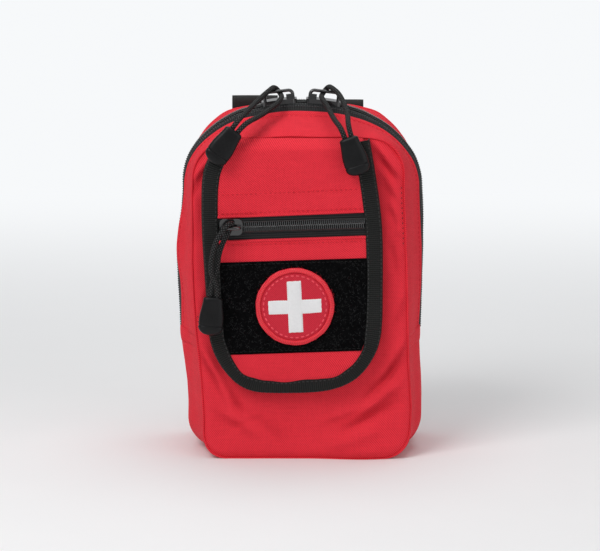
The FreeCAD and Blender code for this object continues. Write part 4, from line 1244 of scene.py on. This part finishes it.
def pocket():
    """Fields between the binding's strips, the folds beside the zip and the rows of stitches; each
    fold is half a circle in y and z swept along x."""
    binding()

    # Foot of the pocket: the lower panel runs under the binding round the whole foot
    z = np.concatenate([np.linspace(41.5, 58.3, 18), np.linspace(59.2, 120.9, 60)])
    piece, _ = pocket_face("pocket_panel_cloth", z, RED_CLOTH,
                           ("pocket_panel", "pocket_panel_base"), POCKET_Y, 21, inset=3.5,
                           slope=0.034 * smooth(95, 120, z))
    thicken(piece, CLOTH)
    across_fold(piece)

    # Upper panel: it starts under the zip's fold and curves back into the front's top seam
    z = np.linspace(133.0, 173.4, 52)
    piece, grid = pocket_face("pocket_top_cloth", z, RED_CLOTH, ("pocket_top_panel",),
                              0.0, 31, body="front_flap", inset=3.5, ripple=0.3,
                              slope=0.040 * (1 - smooth(134, 162, z)))
    mesh = piece.data
    spots = grid.copy()
    spots[..., 1] += POCKET_Y - 0.2 + 5.6 * smooth(166.5, 174.2, spots[..., 2]) ** 1.4
    mesh.vertices.foreach_set("co", (spots.reshape(-1, 3) * MM).ravel())
    mesh.update()
    thicken(piece, CLOTH)

    # Rolled edges of red cloth above and below the zip's tape
    for name, z0, sign in (("pocket_zip_fold_upper", 133.0, 1),
                           ("pocket_zip_fold_lower", 120.8, -1)):
        t = np.linspace(0, 1, 90)
        turn = np.linspace(-0.5, 1.0, 9) * math.pi
        left, right = edge_x(z0, -1, 4.5), edge_x(z0, 1, 4.5)
        x = left + (right - left) * t
        rise = (0.040 if sign > 0 else 0.034) * x
        zz = z0 + rise[:, None] + sign * (0.75 - 0.75 * np.sin(turn))[None] * 0.9
        y = -39.75 - 0.42 * np.cos(turn)[None] - 0.05 * np.sin(x / 7.0)[:, None]
        grid = np.stack(np.broadcast_arrays(x[:, None], y, zz), -1)
        surface(name, grid, "front_flap", RED_CLOTH, facing=TO_FRONT)

    # Red stitching above the zip and along its folds
    for name, z0, slope in (("stitch_band", 145.6, 0.045), ("stitch_fold_upper", 135.4, 0.040),
                            ("stitch_fold_lower", 118.2, 0.034)):
        x = np.linspace(edge_x(z0, -1, 10.0), edge_x(z0, 1, 10.0), 120)
        path = np.stack([x, np.full_like(x, POCKET_Y - 0.34), z0 + slope * x], 1)
        stitches(name, path, 2.5, 0.24, TO_FRONT, "front_flap", RED_THREAD)

    # Loop field: a thick pile, softly swollen, with a sewn edge
    z = np.linspace(59.0, 109.0, 46)
    piece, grid = pocket_face("loop_field", z, LOOP_CLOTH, ("loop_panel",), -40.35, 41,
                              body="front_flap", inset=8.3, ripple=0.12, columns=72, ends=0.35,
                              slope=0.032)
    thicken(piece, 0.7)
    for name, z0 in (("loop_stitch_upper", 107.6), ("loop_stitch_lower", 60.4)):
        x = np.linspace(edge_x(z0, -1, 9.5), edge_x(z0, 1, 9.5), 120)
        path = np.stack([x, np.full_like(x, LOOP_Y), z0 + 0.032 * x], 1)
        stitches(name, path, 2.4, 0.15, TO_FRONT, "front_flap", MOULDED)
    loop_fibres()


def loop_fibres():
    """Curled fibres over the loop field: seeded arcs, each a thin strip of three quads."""
    draw = np.random.default_rng(5)
    n = 1500
    x = draw.uniform(-42.5, 34.0, n)
    z = draw.uniform(59.8, 108.4, n)
    keep = np.hypot(x - PATCH[0], z - PATCH[1]) > 20.0
    x, z = x[keep], z[keep]
    n = len(x)
    turn = draw.uniform(0, TAU, n)
    span = draw.uniform(0.35, 0.8, n)
    high = draw.uniform(0.12, 0.42, n)
    t = np.linspace(-1, 1, 4)
    way = np.stack([np.cos(turn), 0 * turn, np.sin(turn)], 1)
    side = np.stack([-np.sin(turn), 0 * turn, np.cos(turn)], 1)
    middle = np.stack([x, np.full(n, LOOP_Y), z], 1)
    arc = middle[:, None] + way[:, None] * (span[:, None] * t)[..., None]
    arc[..., 1] -= high[:, None] * (1 - t ** 2)[None]
    arc = arc + side[:, None] * (0.2 * (1 - t ** 2))[None, :, None]
    half = side[:, None] * 0.045
    points = np.stack([arc - half, arc + half], 2).reshape(n, 8, 3)
    faces = [[0, 1, 3, 2], [2, 3, 5, 4], [4, 5, 7, 6]]
    pale = plain("loop_fibre", (0.010, 0.010, 0.011), 0.8, 0.2, 3.0, 0.01)
    many("loop_fibres", points, faces, "front_flap", pale)


pocket()


# Round patch on the loop field: twill disc, overlocked rim, stitched ring and satin cross


def patch():
    """Rings round the patch's middle: the disc's face sinks a little at its rim, the overlock is
    half a sine across the rim plus its threads, the satin ring is a thin tube."""
    turn = full_turn(180)
    inwards = np.array([0.0, 0.8, 1.6, 2.6, 4, 6, 8, 10, 12, 14, 16, 17.4, 18.0])
    radius = 18.4 - inwards
    x = PATCH[0] + radius[None] * np.cos(turn)[:, None]
    z = PATCH[1] + radius[None] * np.sin(turn)[:, None]
    y = -41.72 - 0.22 * smooth(0, 2.2, inwards)[None] - 0.1 * waves(x, 0 * x, z, 16, 9)
    grid = np.stack([x, y, z], -1)
    grid[:, -1] = grid[:, -1].mean(0) + (grid[:, -1] - grid[:, -1].mean(0)) * 0.3
    piece = surface("patch_twill", grid, "patch", PATCH_CLOTH, ("patch_disc",),
                    closed_u=True, facing=TO_FRONT)
    thicken(piece, 1.2)

    # Overlocked rim: a fat half-round ring whose threads wind over the edge at a slant
    n, m = 900, 16
    turn = full_turn(n)
    t = np.linspace(-0.12, 1.12, m)
    across = -np.cos(np.pi * t)
    wind = 122 * turn[:, None] + 1.8 * across[None]
    thread = np.abs(np.sin(wind / 2)) ** 0.7
    loose = 0.10 * np.sin(9 * turn + 1.1) + 0.06 * np.sin(23 * turn)
    fat = RIM_W / 2 * (1 + 0.02 * np.sin(7 * turn))[:, None]
    r = PATCH_R - RIM_W / 2 + loose[:, None] * 0.8 + across[None] * (fat + 0.12 * thread)
    y = -41.35 - (0.78 + 0.14 * thread) * np.sin(np.pi * t)[None].clip(-0.6)
    grid = np.stack([PATCH[0] + r * np.cos(turn)[:, None], y,
                     PATCH[1] + r * np.sin(turn)[:, None]], -1)
    piece = surface("patch_rim_thread", grid, "patch", RIM_CLOTH, ("patch_rim",),
                    closed_u=True, facing=TO_FRONT)
    thicken(piece, 0.5)

    # A raised satin ring lies on the rim
    turn = full_turn(420)
    tube = full_turn(10)
    wind = 0.05 * np.sin(turn * 150)
    r = 19.1 + 0.10 * np.sin(5 * turn + 0.7) + 0.05 * np.sin(13 * turn)
    rr = r[:, None] + (0.72 + wind[:, None]) * np.cos(tube)
    yy = -42.05 - (0.55 + wind[:, None]) * np.sin(tube)
    grid = np.stack([PATCH[0] + rr * np.cos(turn)[:, None], yy,
                     PATCH[1] + rr * np.sin(turn)[:, None]], -1)
    surface("patch_rim_satin", grid, "patch", RIM_CLOTH, closed_u=True, closed_v=True)

    # Dashed ring inside the rim
    turn = np.linspace(0, TAU, 500)
    r = 16.7
    path = np.stack([PATCH[0] + r * np.cos(turn), np.full_like(turn, -42.02),
                     PATCH[1] + r * np.sin(turn)], 1)
    stitches("patch_ring_stitch", path, 2.9, 0.36, TO_FRONT, "patch", PATCH_THREAD)

    # Loose threads at the patch's upper right edge
    draw = np.random.default_rng(12)
    n = 64
    at = np.where(draw.uniform(size=n) < 0.55, draw.uniform(0.2, 1.1, n), draw.uniform(0, TAU, n))
    long = draw.uniform(0.5, 1.7, n)
    bend = draw.uniform(-0.9, 0.9, n)
    t = np.linspace(0, 1, 6)
    r = PATCH_R - 0.5 + long[:, None] * t[None]
    angle = at[:, None] + (bend[:, None] * t[None] ** 2) * 1.4 / PATCH_R
    middle = np.stack([PATCH[0] + r * np.cos(angle), -41.5 - 0.5 * hump(t)[None] + 0 * r,
                       PATCH[1] + r * np.sin(angle)], -1)
    side = np.stack([-np.sin(angle), 0 * angle, np.cos(angle)], -1)
    out = np.array([0, -1.0, 0])
    thin = (0.07 * (1 - 0.6 * t))[None, :, None]
    ring = [middle + side * thin, middle + out * thin, middle - side * thin]
    points = np.stack(ring, 2).reshape(n, 18, 3)
    many("patch_fuzz", points, tube_faces(6, 3, points[0]), "patch", RED_THREAD)

    cross()


def cross():
    """Two satin bars, each a long cushion: its height is a rounded ridge across its width, drawn
    down at its ends, with fine threads laid across the bar; the upright lies over the other."""
    tilt = math.radians(2.7)
    for name, long, wide, lift, finish, upright in (
            ("cross_level_satin", 28.4, 7.7, 0.36, CROSS_LEVEL, False),
            ("cross_upright_satin", 27.8, 7.8, 0.78, CROSS_UP, True)):
        u = np.linspace(-1, 1, 141)
        v = np.linspace(-1, 1, 25)
        uu, vv = np.meshgrid(u, v, indexing="ij")
        thread = 0.035 * np.sin(uu * long / 2 * TAU / 0.62)
        edge = 0.10 * np.sin(uu * long / 2 * TAU / 1.24 + 0.5)
        a = uu * long / 2 + 0.06 * np.sin(vv * 9)
        b = vv * (wide / 2 + edge * 0.5)
        high = (1 - np.abs(vv) ** 5) ** 0.8 * (1 - np.abs(uu) ** 40) ** 0.5
        y = -41.86 - (lift + thread) * high
        x0, z0 = (b, a) if upright else (a, b)
        x = PATCH[0] + x0 * math.cos(tilt) - z0 * math.sin(tilt)
        z = PATCH[1] + x0 * math.sin(tilt) + z0 * math.cos(tilt)
        grid = np.stack([x, y, z], -1)
        surface(name, grid, "patch", finish, ("patch_cross",), facing=TO_FRONT)


patch()


# Zips: tapes, and coils of small bent teeth whose two rows mesh

def coil_teeth(name, path, up, side, pitch, reach, half, lean, body, wire=0.42):
    """One row of coil: at each pitch a wire rises from its tape, bends over at the head and
    returns, as a flattened loop. Path runs along the row's back, side points to the other row."""
    spots, at = walk(path, pitch, 0.3)
    index = np.clip(np.round(at).astype(int), 0, len(path) - 1)
    up = up[index] if np.ndim(up) > 1 else np.broadcast_to(np.array(up, float), spots.shape)
    side = side[index] if np.ndim(side) > 1 else np.broadcast_to(np.array(side, float), spots.shape)
    way = unit_rows(np.cross(side, up))
    # The loop in its own frame: s towards the other row, h up, w along the row
    s = np.array([-0.15, 0.35, 0.8, 1.0, 1.0, 0.8, 0.35, -0.15]) * reach
    h = np.array([0.16, 0.24, 0.30, 0.46, 0.66, 0.86, 0.94, 0.88]) * half * 2
    w = np.array([-0.30, -0.2, -0.06, 0.0, 0.0, 0.06, 0.2, 0.30]) * lean
    centre = spots[:, None] + side[:, None] * s[None, :, None] + up[:, None] * h[None, :, None] \
        + way[:, None] * w[None, :, None]
    run = unit_rows(np.gradient(np.stack([s, h], 1), axis=0))
    cross = side[:, None] * (-run[:, 1])[None, :, None] + up[:, None] * run[:, 0][None, :, None]
    fat = np.array([0.8, 1, 1, 1.25, 1.25, 1, 1, 0.8])[None, :, None, None] * wire
    turn = full_turn(6)
    ring = cross[:, :, None] * np.cos(turn)[None, None, :, None] * 0.85 \
        + way[:, None, None] * np.sin(turn)[None, None, :, None]
    points = centre[:, :, None] + ring * fat
    ends = np.array([[0, 1, 2, 3], [0, 3, 4, 5]])
    faces = np.concatenate([tube_faces(8, 6, points[0]), ends, ends + 42])
    return many(name, points.reshape(len(spots), 48, 3), faces, body, COIL_NYLON)


def arch_path(y, outset, spec=ZIP):
    """The zip's line: the arch above the seam, moved out by outset, from right to left."""
    line = soften(loop_rim(spec, y, -outset, 0, SEAM_ROW))
    return even_path(line, 0.5)


def zips():
    """Tapes ruled from outline to outline, folds that bulge as the root of half a sine, and coils
    whose teeth stand square to the zip's line."""
    arch = SEAM_ROW
    # Tapes: woven, 0.9 mm thick, level beside the coil and sloping to the cloth
    front = ruled([(ZIP, -10.9, 3.3, 0), (ZIP, -6.3, 0.25, 0), (ZIP, -5.6, 0.0, 0),
                   (ZIP, -0.65, 0.0, 0)], [8, 2, 8], arch)
    rear = ruled([(ZIP, 0.65, 0.0, 0), (ZIP, 5.6, 0.0, 0), (ZIP, 6.3, 0.1, 0), (ZIP, 10.9, 1.2, 0)],
                 [8, 2, 8], arch)
    for name, grid, body, node in (("front_zip_cloth", front, "front_flap", "front_zip_tape"),
                                   ("rear_zip_cloth", rear, "bag", "rear_zip_tape")):
        piece = surface(name, soften(grid), body, ZIP_CLOTH, (node,), facing="round")
        thicken(piece, 0.8)

    # Red cloth folded over each tape, with a row of stitches behind the fold
    seam_run = 2.4      # from the gusset's edge at the zip to its row of stitches, in mm
    for word, y0, y1, inset0, inset1, body, near, far, proud in (
            ("front", -11.2, -8.9, 3.35, 1.95, "front_flap", (ZIP, -10, 3.0), (FRONT, -32, 0),
             0.62),
            ("rear", 8.9, 11.2, 0.75, 1.1, "bag", (ZIP, 10, 1.0), (BACK, 30, 0), 0.45)):
        t = np.linspace(0, 1, 10)
        rims = [loop_rim(ZIP, y0 + (y1 - y0) * k, inset0 + (inset1 - inset0) * k
                         - 0.42 * hump(k, 0.5), 0, arch) for k in t]
        piece = surface(f"{word}_zip_fold", soften(np.stack(rims, 1)), body,
                        RED_CLOTH, facing="round")
        thicken(piece, 0.3)
        share = seam_run / abs(far[1] - near[1])
        line = loop_rim(*near, 0, arch) * (1 - share) + loop_rim(*far, 0, arch) * share
        line = soften(line) + unit_rows(away_from(line, (0, 0, 90))) * proud
        path = even_path(line, 0.5)
        up = away_from(path, (0, 0, 90))
        stitches_up(f"{word}_zip_stitch", path, 2.6, 0.24, up, body, RED_THREAD)

    # Coils of the main zip
    for word, sign, body in (("front", -1, "front_flap"), ("rear", 1, "bag")):
        path = arch_path(sign * 2.75, 0.1)
        up = unit_rows(away_from(path, (0, 0, CROWN_Z)))
        level = np.sign(path[:, :1]) * np.array([[1.0, 0, 0]])
        blend = (1 - smooth(118, 146, path[:, 2]))[:, None]
        up = unit_rows(up * (1 - blend) + level * blend)
        # The rear row starts 0.5 mm later, so that the two rows mesh
        first = 0 if sign < 0 else 1
        teeth = coil_teeth(f"{word}_zip_teeth", path[first:], up[first:], (0, -sign, 0), 1.25, 3.0,
                           0.72, 0.5, body)
        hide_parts(f"{word}_zip_coil")
        # A cord inside the coil's back
        core = path + up * 0.5
        core[:, 1] += sign * 0.25
        rope(f"{word}_zip_core", core, 0.5, body, BLACK_THREAD)

    # Lines of thread hold each coil to its tape: two on the front tape, one on the rear
    for word, y, outset, body in (("front_a", -4.9, 0.0, "front_flap"),
                                  ("front_b", -6.9, -0.66, "front_flap"),
                                  ("rear_a", 4.9, 0.0, "bag")):
        path = arch_path(y, outset)
        up = away_from(path, (0, 0, CROWN_Z))
        stitches_up(f"zip_thread_{word}", path, 1.5, 0.3, up, body, COIL_NYLON)

    pocket_zip()


def stitches_up(name, path, pitch, radius, up, body, finish):
    """Stitches whose top follows a direction that changes along the path."""
    spots, at = walk(path, pitch, 0.6)
    index = np.clip(np.round(at).astype(int), 0, len(path) - 1)
    ahead, _ = walk(path, pitch, 0.6 + pitch * 0.66)
    n = min(len(spots), len(ahead))
    return stitches(name, path, pitch, radius, unit_rows(up[index[:n]]), body, finish)


def rope(name, path, radius, body, finish):
    """A plain round cord of eight sides along a path, closed at its ends."""
    ring = round_ring(*carried_frames(path), full_turn(8))
    return surface(name, path[:, None] + ring * radius, body, finish, closed_v=True,
                   caps=True)


def pocket_zip():
    """The pocket's zip: two tapes that tuck under the red folds and two rows of small teeth."""
    for word, z0, z1, node in (("upper", 127.5, 134.6, "pocket_zip_tape_upper"),
                               ("lower", 119.4, 126.5, "pocket_zip_tape_lower")):
        z = np.linspace(z0, z1, 14)
        piece, grid = pocket_face(f"pocket_zip_{word}_cloth", z, ZIP_CLOTH, (node,),
                                  0.0, 51, body="front_flap", inset=3.6, ripple=0.05)
        spots = grid.copy()
        mid = (spots[..., 2] - 127) / 7
        spots[..., 1] = POCKET_Y + 0.12 + 0.45 * mid ** 2
        spots[..., 2] += zip_line(spots[..., 0]) - 127
        piece.data.vertices.foreach_set("co", (spots.reshape(-1, 3) * MM).ravel())
        piece.data.update()
        thicken(piece, 0.5)
    for word, sign in (("upper", 1), ("lower", -1)):
        x = np.linspace(-43.3, 33.4, 160) + (0.5 if sign > 0 else 0.0)
        path = np.stack([x, np.full_like(x, -39.62), zip_line(x) + sign * 2.35], 1)
        teeth = coil_teeth(f"pocket_zip_{word}_teeth", path, TO_FRONT, (0, 0, -sign), 1.05, 2.55,
                           0.62, 0.42, "front_flap", wire=0.36)
        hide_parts(f"pocket_zip_coil_{word}")
        core = path + (0, -0.45, 0)
        core[:, 2] += sign * 0.2
        rope(f"pocket_zip_{word}_core", core, 0.4, "front_flap", BLACK_THREAD)


zips()


# Back: three rows of flat webbing, and two straps that fold over loops and snap shut

def strip(name, path, width, body, finish, stands_for=(), lay=(1, 0, 0), thick=1.1,
          crown=0.08, facing=TO_BACK, columns=15):
    """A flat strap: its middle line carried along a path, its width laid across, its edges a
    little lower than its middle."""
    t = np.linspace(-1, 1, columns)
    lay = np.array(lay, float)
    way = unit_rows(np.gradient(path, axis=0))
    face = unit_rows(np.cross(way, lay))
    if (face @ np.array(facing, float)).mean() < 0:
        face = -face
    low = crown * (1 - t ** 6)
    grid = path[:, None] + lay * (t * width / 2)[None, :, None] + face[:, None] * low[None, :, None]
    quads, _ = grid_faces(len(path), columns)
    a, b, c, d = np.moveaxis(grid.reshape(-1, 3)[quads], 1, 0)
    normal = np.cross(c - a, d - b)
    toward = np.repeat(face[:-1], columns - 1, axis=0)
    sign = float(np.sign((normal * toward).sum()))
    along = run_of(path)
    if sign < 0:
        quads = quads[:, ::-1]
    index = quads.ravel()
    uv = np.stack([along[index // columns], (t * width / 2)[index % columns] + width / 2], 1) * MM
    piece = new_piece(name, grid.reshape(-1, 3), quads, body, finish, stands_for, uv)
    return thicken(piece, thick, -1.0)


def back():
    """Webbing that lifts as a power of half a sine between its tacks, and straps that hang, fold
    over in half a circle and are sewn down."""
    # Webbing rows: tacked down at their ends and at three places between, slack elsewhere
    for name, z0, seed in (("lower", 40.0, 61), ("middle", 90.0, 62), ("upper", 140.0, 63)):
        t = np.linspace(-52, 52, 130)
        lift = 0.30 * np.abs(np.sin(np.pi * (t + 52) / 26)) ** 0.7
        middle_z = z0 + 12.5 + 0.25 * np.sin(t / 17 + seed)
        path = np.stack([t, 33.5 + lift, middle_z], 1)
        piece = strip(f"webbing_{name}_row", path, 25, "bag", WEBBING_CLOTH,
                      (f"webbing_{name}",), lay=(0, 0, 1))
        for k, x in enumerate((-50.3, -26, 0.0, 26, 50.3)):
            z = np.linspace(z0 + 1.4, z0 + 23.6, 40)
            line = np.stack([np.full_like(z, x), np.full_like(z, 33.72), z], 1)
            stitches(f"webbing_{name}_tack_{k + 1}", line, 1.7, 0.26, TO_BACK, "bag",
                     BLACK_THREAD)

    for word, x, top in (("left", -25.5, 187.5), ("right", 21.5, 185.2)):
        # The strap hangs outside, folds over its loop and is sewn to the panel behind itself
        radius = (39.6 - 33.0) / 2
        turn = np.linspace(0, np.pi, 22)
        outer = np.linspace(24, top - radius - 0.2, 70)
        sway = 0.35 * np.sin((outer - 24) / 27.0)
        rise = 39.6 - 0.45 * np.sin(np.pi * np.clip((outer - 40) / 140, 0, 1))
        path_out = np.stack([x + sway * 0.3, rise, outer], 1)
        bend = np.stack([np.full_like(turn, x), 36.3 + radius * np.cos(turn),
                         top - radius + radius * np.sin(turn)], 1)
        inner = np.linspace(top - radius - 0.3, 168.2, 16)
        path_in = np.stack([np.full_like(inner, x), np.full_like(inner, 33.0), inner], 1)
        path = np.concatenate([path_out, bend[1:-1], path_in])
        piece = strip(f"{word}_strap_webbing", path, 25, None, WEBBING_CLOTH,
                      (f"{word}_strap", f"{word}_strap_tab"), lay=(1, 0, 0), thick=1.4)
        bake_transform(piece)
        # Box stitch through the sewn tail, and its hem
        for tag, z in (("low", 170.0), ("high", 179.5)):
            t = np.linspace(x - 10.5, x + 10.5, 30)
            line = np.stack([t, np.full_like(t, 33.75), np.full_like(t, z)], 1)
            stitches(f"{word}_tab_stitch_{tag}", line, 1.9, 0.26, TO_BACK, "bag",
                     BLACK_THREAD)
        t = np.linspace(x - 11.4, x + 11.4, 34)
        line = np.stack([t, np.full_like(t, 39.72), np.full_like(t, 27.0 - 1.6)], 1)
        stitches(f"{word}_end_stitch", line, 1.9, 0.26, TO_BACK, f"{word}_strap_flap",
                 BLACK_THREAD)
        snap(word, x)


def snap(word, x):
    """Snap fastener: a turned cap on the strap and its studs on the panel, lathed profiles."""
    turn = full_turn(56)
    r = np.array([6.1, 6.25, 6.2, 5.9, 5.3, 4.6, 3.6, 2.4, 1.2, 0.25])
    y = np.array([39.7, 40.1, 40.6, 41.1, 41.42, 41.5, 41.34, 41.3, 41.42, 41.46])
    grid = np.stack(np.broadcast_arrays(x + r[None] * np.cos(turn)[:, None], y[None],
                                        33.0 + r[None] * np.sin(turn)[:, None]), -1)
    cap = surface(f"{word}_snap_dome", grid, f"{word}_strap_flap", SNAP_PAINT,
                  (f"{word}_snap_cap",), closed_u=True, facing=TO_BACK)
    thicken(cap, 0.4)
    # The ring that grips the stud shows behind the strap
    r = np.array([5.6, 5.6, 5.2, 4.2, 3.2, 2.6, 2.4, 2.4])
    y = np.array([38.3, 37.6, 37.25, 37.2, 37.3, 37.5, 37.9, 38.3])
    grid = np.stack(np.broadcast_arrays(x + r[None] * np.cos(turn)[:, None], y[None],
                                        33.0 + r[None] * np.sin(turn)[:, None]), -1)
    surface(f"{word}_snap_socket", grid, f"{word}_strap_flap", SNAP_PAINT, (),
            closed_u=True, facing=TO_FRONT)


back()


# Inside: bands, the net pocket and what the pouch carries

def roll(name, x, y, z0, z1, radius, finish, slot, node, turns, hollow=0.0, seed=3):
    """A wound roll: at each end a groove follows a spiral, and the side has the last turn's step;
    radius is R times 1 less a soft rim, with slow waves."""
    n = 96
    turn = full_turn(n)
    high = z1 - z0
    core = hollow if hollow else 0.25
    pitch = (radius - core) / turns
    side_z = np.array([0.0, 0.02, 0.06, 0.14, 0.3, 0.5, 0.7, 0.86, 0.94, 0.98, 1.0])
    swell = 1 - 0.030 * np.abs(side_z * 2 - 1) ** 8
    step = 0.35 * (turn / TAU - 0.5)
    side = radius * swell[:, None] * (1 - 0.004) - 0.3 + step[None] * 0.8 \
        + 0.16 * np.sin(3 * turn + seed)[None]
    side_h = z0 + high * side_z[:, None] + 0 * side
    r = np.linspace(radius - 0.7, core, 5 * turns + 1)
    wind = ((r[:, None] - core) / pitch + turn[None] / TAU) % 1.0
    groove = 0.42 * np.abs(wind - 0.5) ** 2 * 4
    cone = 0.9 * (1 - (r / radius) ** 2)[:, None] * (0 if hollow else 1)
    top_h = z1 - groove - cone * 0.4
    low_h = z0 + groove + cone * 0.4
    rings_r = np.concatenate([np.broadcast_to(r[::-1, None], low_h.shape), side,
                              np.broadcast_to(r[:, None], top_h.shape)])
    rings_h = np.concatenate([low_h[::-1], side_h, top_h])
    if hollow:
        inner_h = np.linspace(z1 - 0.4, z0 + 0.4, 6)[:, None] + 0 * turn[None]
        rings_r = np.concatenate([rings_r, np.full((6, n), hollow)])
        rings_h = np.concatenate([rings_h, inner_h])
    grid = np.stack([x + rings_r * np.cos(turn), y + rings_r * np.sin(turn), rings_h], -1)
    if hollow:
        grid = np.concatenate([grid, grid[:1]])
    return surface(name, grid, "bag", finish, (node,), closed_v=True, caps=not hollow)


def cushion(name, low, high, finish, node, power, crimp=0.0, seed=4):
    """A soft closed block: a rounded box between two corners whose faces crown and whose skin
    has quiet waves; power sets how square it is."""
    low, high = np.array(low, float), np.array(high, float)
    middle, half = (low + high) / 2, (high - low) / 2
    u = np.linspace(-math.pi / 2 + 0.02, math.pi / 2 - 0.02, 34)
    v = full_turn(72)

    def power_of(value, p):
        """A cosine or sine raised to 2 / p with its sign kept."""
        return np.sign(value) * np.abs(value) ** (2 / p)

    cu, su = power_of(np.cos(u), power), power_of(np.sin(u), power)
    cv, sv = power_of(np.cos(v), power), power_of(np.sin(v), power)
    thin = int(np.argmin(half))
    order = [k for k in range(3) if k != thin]
    spots = np.zeros((34, 72, 3))
    spots[..., order[0]] = cu[:, None] * cv[None]
    spots[..., order[1]] = cu[:, None] * sv[None]
    spots[..., thin] = su[:, None] + 0 * cv[None]
    skin = middle + spots * half
    wave = waves(skin[..., 0], skin[..., 1], skin[..., 2], 14, seed)
    skin[..., thin] += np.sign(spots[..., thin]) * (wave - 1) * 0.05 * half[thin] * 2
    if crimp:
        edge = smooth(0.9, 1.0, np.abs(spots[..., order[1]]))
        skin[..., thin] = middle[thin] + (skin[..., thin] - middle[thin]) * (1 - 0.75 * edge)
    piece = surface(name, skin, "bag", finish, (node,), closed_v=True, caps=True)
    return piece


def packet(name, x0, x1, z0, z1, y, finish, body, node, seed):
    """A flat sealed sachet: two films that part in its middle and meet at a crimped rim."""
    nx, nz = 40, 44
    u = np.linspace(0, 1, nx)
    v = np.linspace(0, 1, nz)
    uu, vv = np.meshgrid(u, v, indexing="ij")
    x = x0 + (x1 - x0) * uu
    z = z0 + (z1 - z0) * vv
    open_ = (smooth(0.04, 0.22, uu) * smooth(0.04, 0.22, 1 - uu) * smooth(0.05, 0.2, vv)
             * smooth(0.05, 0.2, 1 - vv))
    wave = waves(x, 0 * x, z, 12, seed)
    front = y - 0.62 * open_ * (1 + 0.25 * wave) - 0.02 * np.sin(z * 6) * (1 - open_)
    back_ = y + 0.45 * open_ * (1 + 0.2 * wave) - 0.02 * np.sin(z * 6) * (1 - open_) + 0.06
    parts = [np.stack([x, front, z], -1), np.stack([x[::-1], back_[::-1], z[::-1]], -1)]
    grid = np.concatenate(parts)
    return surface(name, grid, body, finish, (node,) if node else (), closed_u=True)


def contents():
    """The bands' route is a U with round corners; the net is a dome of 1 less the 8th power of the
    way across, with waves; rolls, pads and packets follow their own functions."""
    # Elastic bands: each runs out from the back, across the supplies and back in again
    for name, z0, node in (("lower", 30.0, "elastic_band_lower"),
                           ("upper", 78.0, "elastic_band_upper")):
        corner, y0, y1 = 4.0, 18.6, 30.0
        t = np.linspace(0, math.pi / 2, 8)
        left = [(-43.4, y1), (-43.4, (y1 + y0) / 2 + 2), (-43.4, y0 + corner)]
        bend = [(-43.4 + corner - corner * math.cos(a), y0 + corner - corner * math.sin(a))
                for a in t]
        half = np.array(left + bend)
        line = [(x, y0) for x in np.linspace(-39, 39, 60)]
        route = np.concatenate([half, line, half[::-1] * (-1, 1)])
        path = np.stack([route[:, 0], route[:, 1], np.full(len(route), z0 + 12.5)], 1)
        path = even_path(path, 1.2)
        strip(f"elastic_{name}", path, 25, "bag", ELASTIC_CLOTH, (node,), lay=(0, 0, 1),
              thick=1.0, facing=TO_FRONT, crown=0.05)

    # Net pocket on the flap's inner face, gathered by an elastic hem
    x = np.linspace(-50, 50, 90)
    z = np.linspace(66.2, 124.5, 46)
    xx, zz = np.meshgrid(x, z, indexing="ij")
    dome = (1 - np.abs(xx / 50) ** 8) * smooth(66.2, 74, zz)
    sag = waves(xx, 0 * xx, zz, 26, 71) * 0.35 * dome
    y = -31.9 + 5.9 * dome + sag - 0.5 * smooth(112, 124, zz) * dome
    net = surface("mesh_pocket_net", np.stack([xx, y, zz], -1), "front_flap", NET,
                  ("mesh_pocket",), facing=TO_BACK)
    thicken(net, 0.35)
    dome = 1 - np.abs(x / 50) ** 8
    path = np.stack([x, -31.7 + 5.5 * dome + 0.25 * np.sin(x / 3.1) * dome, 0 * x + 125.4], 1)
    band = strip("mesh_pocket_band", path, 5.2, "front_flap", ELASTIC_CLOTH,
                 ("mesh_pocket_hem",), lay=(0, 0, 1), thick=0.8, facing=TO_BACK, columns=7)

    roll("bandage_wound", -19.4, -4.8, 1.95, 73.85, 17.6, CREPE, "bandage", "bandage_roll", 9)
    roll("gauze_wound", 19.4, -4.8, 1.95, 73.85, 17.6, GAUZE, "gauze", "gauze_roll", 11, seed=8)
    roll("tape_wound", -19.4, -4.8, 74.25, 96.15, 17.0, TAPE_CLOTH, "tape_white", "tape_roll", 6,
         hollow=11.0, seed=5)
    cushion("dressing_pad", (2.0, -21.7, 74.3), (36.8, 12.1, 98.1), PAPER,
            "dressing_pack", power=5.0, seed=81)
    cushion("glove_pad", (-37.6, 19.8, 2.0), (-1.8, 29.6, 99.8), GLOVE, "glove_pack",
            power=4.4, crimp=1.0, seed=82)
    cushion("blanket_pad", (-0.4, 19.8, 2.0), (29.4, 29.6, 105.8), FOIL,
            "blanket_pack", power=4.4, crimp=1.0, seed=83)
    for k, (x0, x1, z0, z1) in enumerate(((-33.8, 15.8, 67.0, 117.0), (-15.8, 33.8, 67.6, 121.0),
                                          (-25.0, 24.5, 67.2, 125.7))):
        packet(f"wipe_sachet_{k + 1}", x0, x1, z0, z1, -31.0 + 1.45 * k, PAPER,
               "front_flap", "wipe_sachets" if k == 0 else None, 90 + k)


contents()
